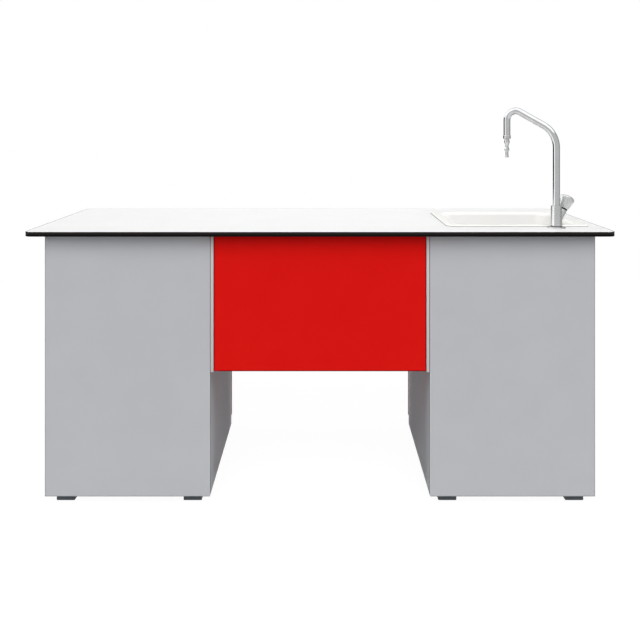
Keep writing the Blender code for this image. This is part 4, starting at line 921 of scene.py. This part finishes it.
def hinge_half(name, door_side):
    """One leaf with its knuckles about the pin, for a hinge on the +X side."""
    way = 1 if door_side else -1
    reach = HINGE_DOOR_LEAF if door_side else HINGE_FIXED_LEAF
    clear = HINGE_RADIUS + HINGE_CLEAR
    outside = HINGE_SHEET - HINGE_RADIUS
    near, far = sorted((way * clear, way * reach))
    leaf = add_block(name, (-HINGE_RADIUS, near, -HINGE_HALF), (outside, far, HINGE_HALF))
    edge = way * reach
    bevel_edges(leaf, lambda start, end: abs(start.y - edge) < 1e-5 and abs(end.y - edge) < 1e-5
                and abs(start.z - end.z) < 1e-5, HINGE_LEAF_CORNER)
    pitch = 2 * HINGE_HALF / HINGE_KNUCKLES
    for number in range(1 if door_side else 0, HINGE_KNUCKLES, 2):
        low = number * pitch - HINGE_HALF + (KNUCKLE_GAP if number else 0)
        high = (number + 1) * pitch - HINGE_HALF - (KNUCKLE_GAP if number < HINGE_KNUCKLES - 1 else 0)
        near, far = sorted((0, way * (clear + HINGE_SHEET)))
        weld(leaf, add_block("roll", (-HINGE_RADIUS, near, low), (outside, far, high)))
        weld(leaf, add_rod(HINGE_RADIUS, (0, 0, low), (0, 0, high), 32))
        if door_side:
            cut_out(leaf, add_rod(HINGE_PIN + HINGE_CLEAR, (0, 0, low - 0.001), (0, 0, high + 0.001), 24))
    if not door_side:
        weld(leaf, add_rod(HINGE_PIN, (0, 0, pitch / 2 - HINGE_HALF), (0, 0, HINGE_HALF - pitch / 2), 24))
    for height in HINGE_SCREWS:
        depth = way * (reach + clear) / 2
        hole = add_rod(HINGE_HOLE, (0, 0, -HINGE_DRILL), (0, 0, HINGE_DRILL), 24)
        across = Matrix.Rotation(math.pi / 2, 4, "Y")
        set_down(hole, Matrix.Translation((-HINGE_RADIUS, depth, height)) @ across)
        cut_out(leaf, hole)
    ease_edges(leaf, 0.0002, 1)
    return leaf

def screw(name, radius, height):
    """A domed screw head with a cross recess, standing on the floor of its own space."""
    dome = []
    for step in range(7):
        turn = math.pi / 2 * step / 6
        dome.append((radius * math.sin(turn), height * (0.35 + 0.65 * math.cos(turn))))
    head = spin_profile(name, [*dome, (radius, 0), (0, 0)], 28)
    slot = radius * 0.62
    cut_out(head, add_block("slot", (-slot, -0.0004, height * 0.45), (slot, 0.0004, height * 2)))
    cut_out(head, add_block("slot", (-0.0004, -slot, height * 0.45), (0.0004, slot, height * 2)))
    head.data.materials.append(zinc)
    shade_round(head, 40)
    return head

def drive_screws(head, name, places, facing, body):
    """Copies of a screw head at a list of places, all facing one way."""
    for number, place in enumerate(places, start=1):
        turn = Matrix.Rotation(0.7 * number, 4, "Z")
        aim = Vector(facing).to_track_quat("Z", "Y").to_matrix().to_4x4()
        matrix = Matrix.Translation(place) @ aim @ turn
        driven = copy_piece(head, f"{name}_{number}", matrix)
        mount(driven, body, "hinge_steel")

zinc = metal("zinc_plated_steel", (184, 184, 181), 0.32, 0.10, (1, 1, 1), 380.0, 0.08)
joints = {entry["name"]: entry for entry in frame["joints"]}
flat_head = screw("countersunk_head", 0.0029, 0.0007)
halves = {"fixed": hinge_half("hinge_fixed_half", False), "door": hinge_half("hinge_door_half", True)}
for half in halves.values():
    half.data.materials.append(zinc)
    shade_round(half, 40)
twins = {kind: mirror_sides(half) for kind, half in halves.items()}
for cabinet, side, shapes in (("wet", 1, halves), ("dry", -1, twins)):
    pin = Vector(joints[f"{cabinet}_door_hinge"]["pos_m"])
    for level in ("low", "high"):
        for kind, shape in shapes.items():
            node = f"{cabinet}_hinge_{level}_{kind}"
            body = f"{cabinet}_door_leaf" if kind == "door" else "carcass"
            box_low, box_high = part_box(node)
            middle = Vector((pin.x, pin.y, (box_low.z + box_high.z) / 2))
            leaf = copy_piece(shape, node + "_pressing", Matrix.Translation(middle))
            mount(leaf, body, "hinge_steel", node)
            reach = HINGE_DOOR_LEAF if kind == "door" else -HINGE_FIXED_LEAF
            clear = math.copysign(HINGE_RADIUS + HINGE_CLEAR, reach)
            x = side * (HINGE_SHEET - HINGE_RADIUS)
            places = [middle + Vector((x, (reach + clear) / 2, height)) for height in HINGE_SCREWS]
            drive_screws(flat_head, node + "_screw", places, (side, 0, 0), body)
for spare in [*halves.values(), *twins.values(), flat_head]:
    bpy.data.objects.remove(spare, do_unlink=True)

# Cross-recessed pan-head screws fix the folded strips: three into the cabinet, three into the panel.
# All stand on the hidden side, where the user's knees go.
pan_head = screw("pan_head", 0.0040, 0.0024)
panel_low, panel_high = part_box("modesty_panel")
levels = [panel_low.z + share * (panel_high.z - panel_low.z) for share in (0.12, 0.5, 0.88)]
for side, way in (("left", 1), ("right", -1)):
    low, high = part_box(f"panel_angle_{side}")
    outer = low.x if way > 0 else high.x
    behind = panel_high.y + 0.0003 + STRIP_SHEET
    along = [Vector((outer + way * STRIP_SHEET, behind + STRIP_LEG * 0.5, level)) for level in levels]
    drive_screws(pan_head, f"strip_{side}_cabinet_screw", along, (way, 0, 0), "carcass")
    across = [Vector((outer + way * STRIP_LEG * 0.65, behind, level)) for level in levels]
    drive_screws(pan_head, f"strip_{side}_panel_screw", across, (0, 1, 0), "carcass")
bpy.data.objects.remove(pan_head, do_unlink=True)

# The pulls are bows of brushed 10 mm round bar, screwed on through the door or the drawer's front.
# They stand upright on the doors and lie level on the drawer.
PULL_RADIUS = 0.005
PULL_BEND = 0.012
PULL_BODIES = {"wet_door_pull": "wet_door_leaf", "dry_door_pull": "dry_door_leaf", "drawer_pull": "drawer"}
for node, body in PULL_BODIES.items():
    low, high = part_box(node)
    lengthwise = Vector((0, 0, 1)) if high.z - low.z > high.x - low.x else Vector((1, 0, 0))
    half = lengthwise.dot(high - low) / 2 - PULL_RADIUS
    middle = (low + high) / 2
    foot = Vector((middle.x, low.y, middle.z))
    crown = Vector((middle.x, high.y - PULL_RADIUS, middle.z))
    pull = bent_bar(node + "_bow", [
        foot - lengthwise * half, crown - lengthwise * half,
        crown + lengthwise * half, foot + lengthwise * half,
    ], (PULL_BEND, PULL_BEND), PULL_RADIUS, 40, 12)
    ease_edges(pull, 0.0004)
    finish_piece(pull, brushed_steel, body, "brushed_steel", node)

# The drawer is an open box pressed from grey-coated sheet, with walls turned over to 12 mm.
# It hangs on zinc-plated rails that run in lipped channels on the cabinet's sides.
DRAWER_WALL = 0.012
DRAWER_FLOOR = 0.008
DRAWER_CORNER = 0.004
low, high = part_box("drawer_box")
tray = add_block("drawer_tray", low, high)
bpy.ops.object.mode_set(mode="EDIT")
select_faces(tray, lambda centre, normal: normal.z > 0.9)
bpy.ops.mesh.inset(thickness=DRAWER_WALL, depth=0)
bpy.ops.mesh.extrude_region_move(TRANSFORM_OT_translate={"value": (0, 0, low.z + DRAWER_FLOOR - high.z)})
bpy.ops.object.mode_set(mode="OBJECT")
bevel_edges(tray, upright, DRAWER_CORNER, 4)
ease_edges(tray, 0.0012, 3)
drawer_coat = surface("grey_drawer_coat", (207, 208, 210), 0.48, 2, 320.0, 0.12)
finish_piece(tray, drawer_coat, "drawer", "drawer_grey", "drawer_box")
rolled_zinc = metal("rolled_zinc_strip", (178, 179, 178), 0.30, 0.10, (14, 1, 14), 160.0, 0.06)
for node in ("drawer_runner_left", "drawer_runner_right", "drawer_rail_left", "drawer_rail_right"):
    for held in frame["nodes"][node].material_slots:
        held.material = rolled_zinc

# The loose shelf lies on four steel pins, pressed into holes in the dry cabinet's sides.
PIN_RADIUS = 0.0025
PIN_LENGTH = 0.016
PIN_INSET = 0.045
shelf_low, shelf_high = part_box("dry_shelf")
for side, x in (("left", shelf_low.x), ("right", shelf_high.x)):
    for end, y in (("public", shelf_low.y + PIN_INSET), ("user", shelf_high.y - PIN_INSET)):
        pin = add_rod(PIN_RADIUS, (0, 0, -PIN_LENGTH / 2), (0, 0, PIN_LENGTH / 2), 24)
        pin.name = f"shelf_pin_{side}_{end}"
        lengthways = Matrix.Rotation(math.pi / 2, 4, "Y")
        set_down(pin, Matrix.Translation((x, y, shelf_low.z - PIN_RADIUS)) @ lengthways)
        ease_edges(pin, 0.0006)
        finish_piece(pin, zinc, "carcass", "hinge_steel")

# The floor and the backdrop are one pale sheet, which isn't part of the table.
# To the camera and in reflections it is nearly white, and it keeps a soft shadow of the table.
FLOOR_SIZE = 7.0
FLOOR_GREY = 0.40
FLOOR_GLOW = 1.19
FLOOR_SHARE = 0.80
WHITE = (1.0, 1.0, 1.0, 1.0)

def grey(level):
    return (level, level, level, 1.0)

def add_math(tree, operation, first, second):
    return add_node(tree, "ShaderNodeMath", {0: first, 1: second}, operation=operation).outputs["Value"]

def mix_shaders(tree, factor, first, second):
    """Where the factor is 0 the first shader is used, and where it is 1 the second."""
    return add_node(tree, "ShaderNodeMixShader", {"Fac": factor, 1: first, 2: second}).outputs["Shader"]

bpy.ops.object.select_all(action="DESELECT")
bpy.ops.mesh.primitive_plane_add(size=FLOOR_SIZE, location=(0, 0, 0))
ground = bpy.context.object
ground.name = "pale_ground"
paper, tree, matt = new_finish("pale_paper")
feed(tree, matt, {"Base Color": grey(FLOOR_GREY), "Roughness": 1.0, "Specular IOR Level": 0.0})
glow = add_node(tree, "ShaderNodeEmission", {"Color": WHITE, "Strength": FLOOR_GLOW})
rays = add_node(tree, "ShaderNodeLightPath").outputs
either = add_math(tree, "MAXIMUM", rays["Is Camera Ray"], rays["Is Glossy Ray"])
seen = add_math(tree, "MAXIMUM", either, rays["Is Transmission Ray"])
share = add_math(tree, "MULTIPLY", seen, FLOOR_SHARE)
blend = mix_shaders(tree, share, matt.outputs["BSDF"], glow.outputs["Emission"])
feed(tree, tree.nodes["Material Output"], {"Surface": blend})
ground.data.materials.append(paper)

# The light is a bright studio: an even dome, and a broad soft lamp for each side of the table.
# The dome is white to the camera. Metal mirrors upright screens round the room, under a white ceiling.
DOME_STRENGTH = 0.24
CEILING = 1.70
SCREENS = ((0.0, 0.74), (0.172, 0.74), (0.184, 1.70), (0.248, 1.70), (0.260, 0.03), (0.444, 0.03),
           (0.456, 0.45), (0.785, 0.45), (0.805, 0.74), (1.0, 0.74))
SCREEN_TOPS = ((0.0, 0.66), (0.236, 0.66), (0.250, 0.16), (0.436, 0.16), (0.460, 0.80), (0.68, 0.80),
               (0.75, 0.66), (1.0, 0.66))
LAMPS = (("front", 180, 36, 2.44, 55), ("left", -90, 12, 1.40, 25), ("right", 90, 12, 1.40, 25),
         ("rear", 0, 12, 1.45, 25))
LAMP_DISTANCE = 4

def ramp(tree, source, stops):
    """Grey levels at the given places along a value from 0 to 1."""
    bands = add_node(tree, "ShaderNodeValToRGB", {"Fac": source})
    elements = bands.color_ramp.elements
    for element, (position, level) in zip(elements, (stops[0], stops[-1])):
        element.position = position
        element.color = grey(level)
    for position, level in stops[1:-1]:
        elements.new(position).color = grey(level)
    return bands.outputs["Color"]

world = bpy.data.worlds.new("bright_room")
bpy.context.scene.world = world
world.use_nodes = True
tree = world.node_tree
room = tree.nodes["Background"]
feed(tree, room, {"Color": WHITE, "Strength": DOME_STRENGTH})
white = add_node(tree, "ShaderNodeBackground", {"Color": WHITE})
rays = add_node(tree, "ShaderNodeLightPath").outputs
seen = add_math(tree, "MAXIMUM", rays["Is Camera Ray"], rays["Is Transmission Ray"])
direction = add_node(tree, "ShaderNodeTexCoord").outputs["Generated"]
split = add_node(tree, "ShaderNodeSeparateXYZ", {"Vector": direction}).outputs
turn = add_math(tree, "ARCTAN2", split["X"], split["Y"])
circle = add_node(tree, "ShaderNodeMapRange", {"Value": turn, "From Min": -math.pi, "From Max": math.pi})
zones = ramp(tree, circle.outputs["Result"], SCREENS)
tops = ramp(tree, circle.outputs["Result"], SCREEN_TOPS)
above = add_math(tree, "GREATER_THAN", split["Z"], tops)
screens = add_node(tree, "ShaderNodeMix", data_type="RGBA")
feed(tree, screens, {"Factor": above, "A": zones, "B": grey(CEILING)})
mirrored_room = add_node(tree, "ShaderNodeBackground", {"Color": screens.outputs["Result"]})
lit = mix_shaders(tree, rays["Is Glossy Ray"], room.outputs["Background"],
                  mirrored_room.outputs["Background"])
shown = mix_shaders(tree, seen, lit, white.outputs["Background"])
feed(tree, tree.nodes["World Output"], {"Surface": shown})

for name, azimuth, elevation, strength, spread in LAMPS:
    turn = math.radians(azimuth)
    height = math.radians(elevation)
    toward = Vector((math.sin(turn) * math.cos(height), math.cos(turn) * math.cos(height), math.sin(height)))
    bpy.ops.object.light_add(type="SUN", location=toward * LAMP_DISTANCE)
    lamp = bpy.context.object
    lamp.name = f"soft_lamp_{name}"
    lamp.rotation_euler = toward.to_track_quat("Z", "Y").to_euler()
    lamp.data.energy = strength
    lamp.data.angle = math.radians(spread)
    lamp.visible_glossy = False

# The camera stands level in front of the public side, with its lens shifted to lower the frame.
# Its place and focal length repeat the photograph's perspective, so upright edges stay upright.
CAMERA_DISTANCE = 2.695
CAMERA_HEIGHT = 1.172
LENS = 50
SENSOR = 36
LENS_SHIFT = -0.3058
camera = bpy.data.objects.new("camera", bpy.data.cameras.new("camera"))
bpy.context.scene.collection.objects.link(camera)
camera.location = (0, top_low.y - CAMERA_DISTANCE, CAMERA_HEIGHT)
camera.rotation_euler = (math.radians(90), 0, 0)
camera.data.lens = LENS
camera.data.sensor_width = SENSOR
camera.data.shift_y = LENS_SHIFT
bpy.context.scene.camera = camera
bpy.context.scene.view_settings.view_transform = "Standard"
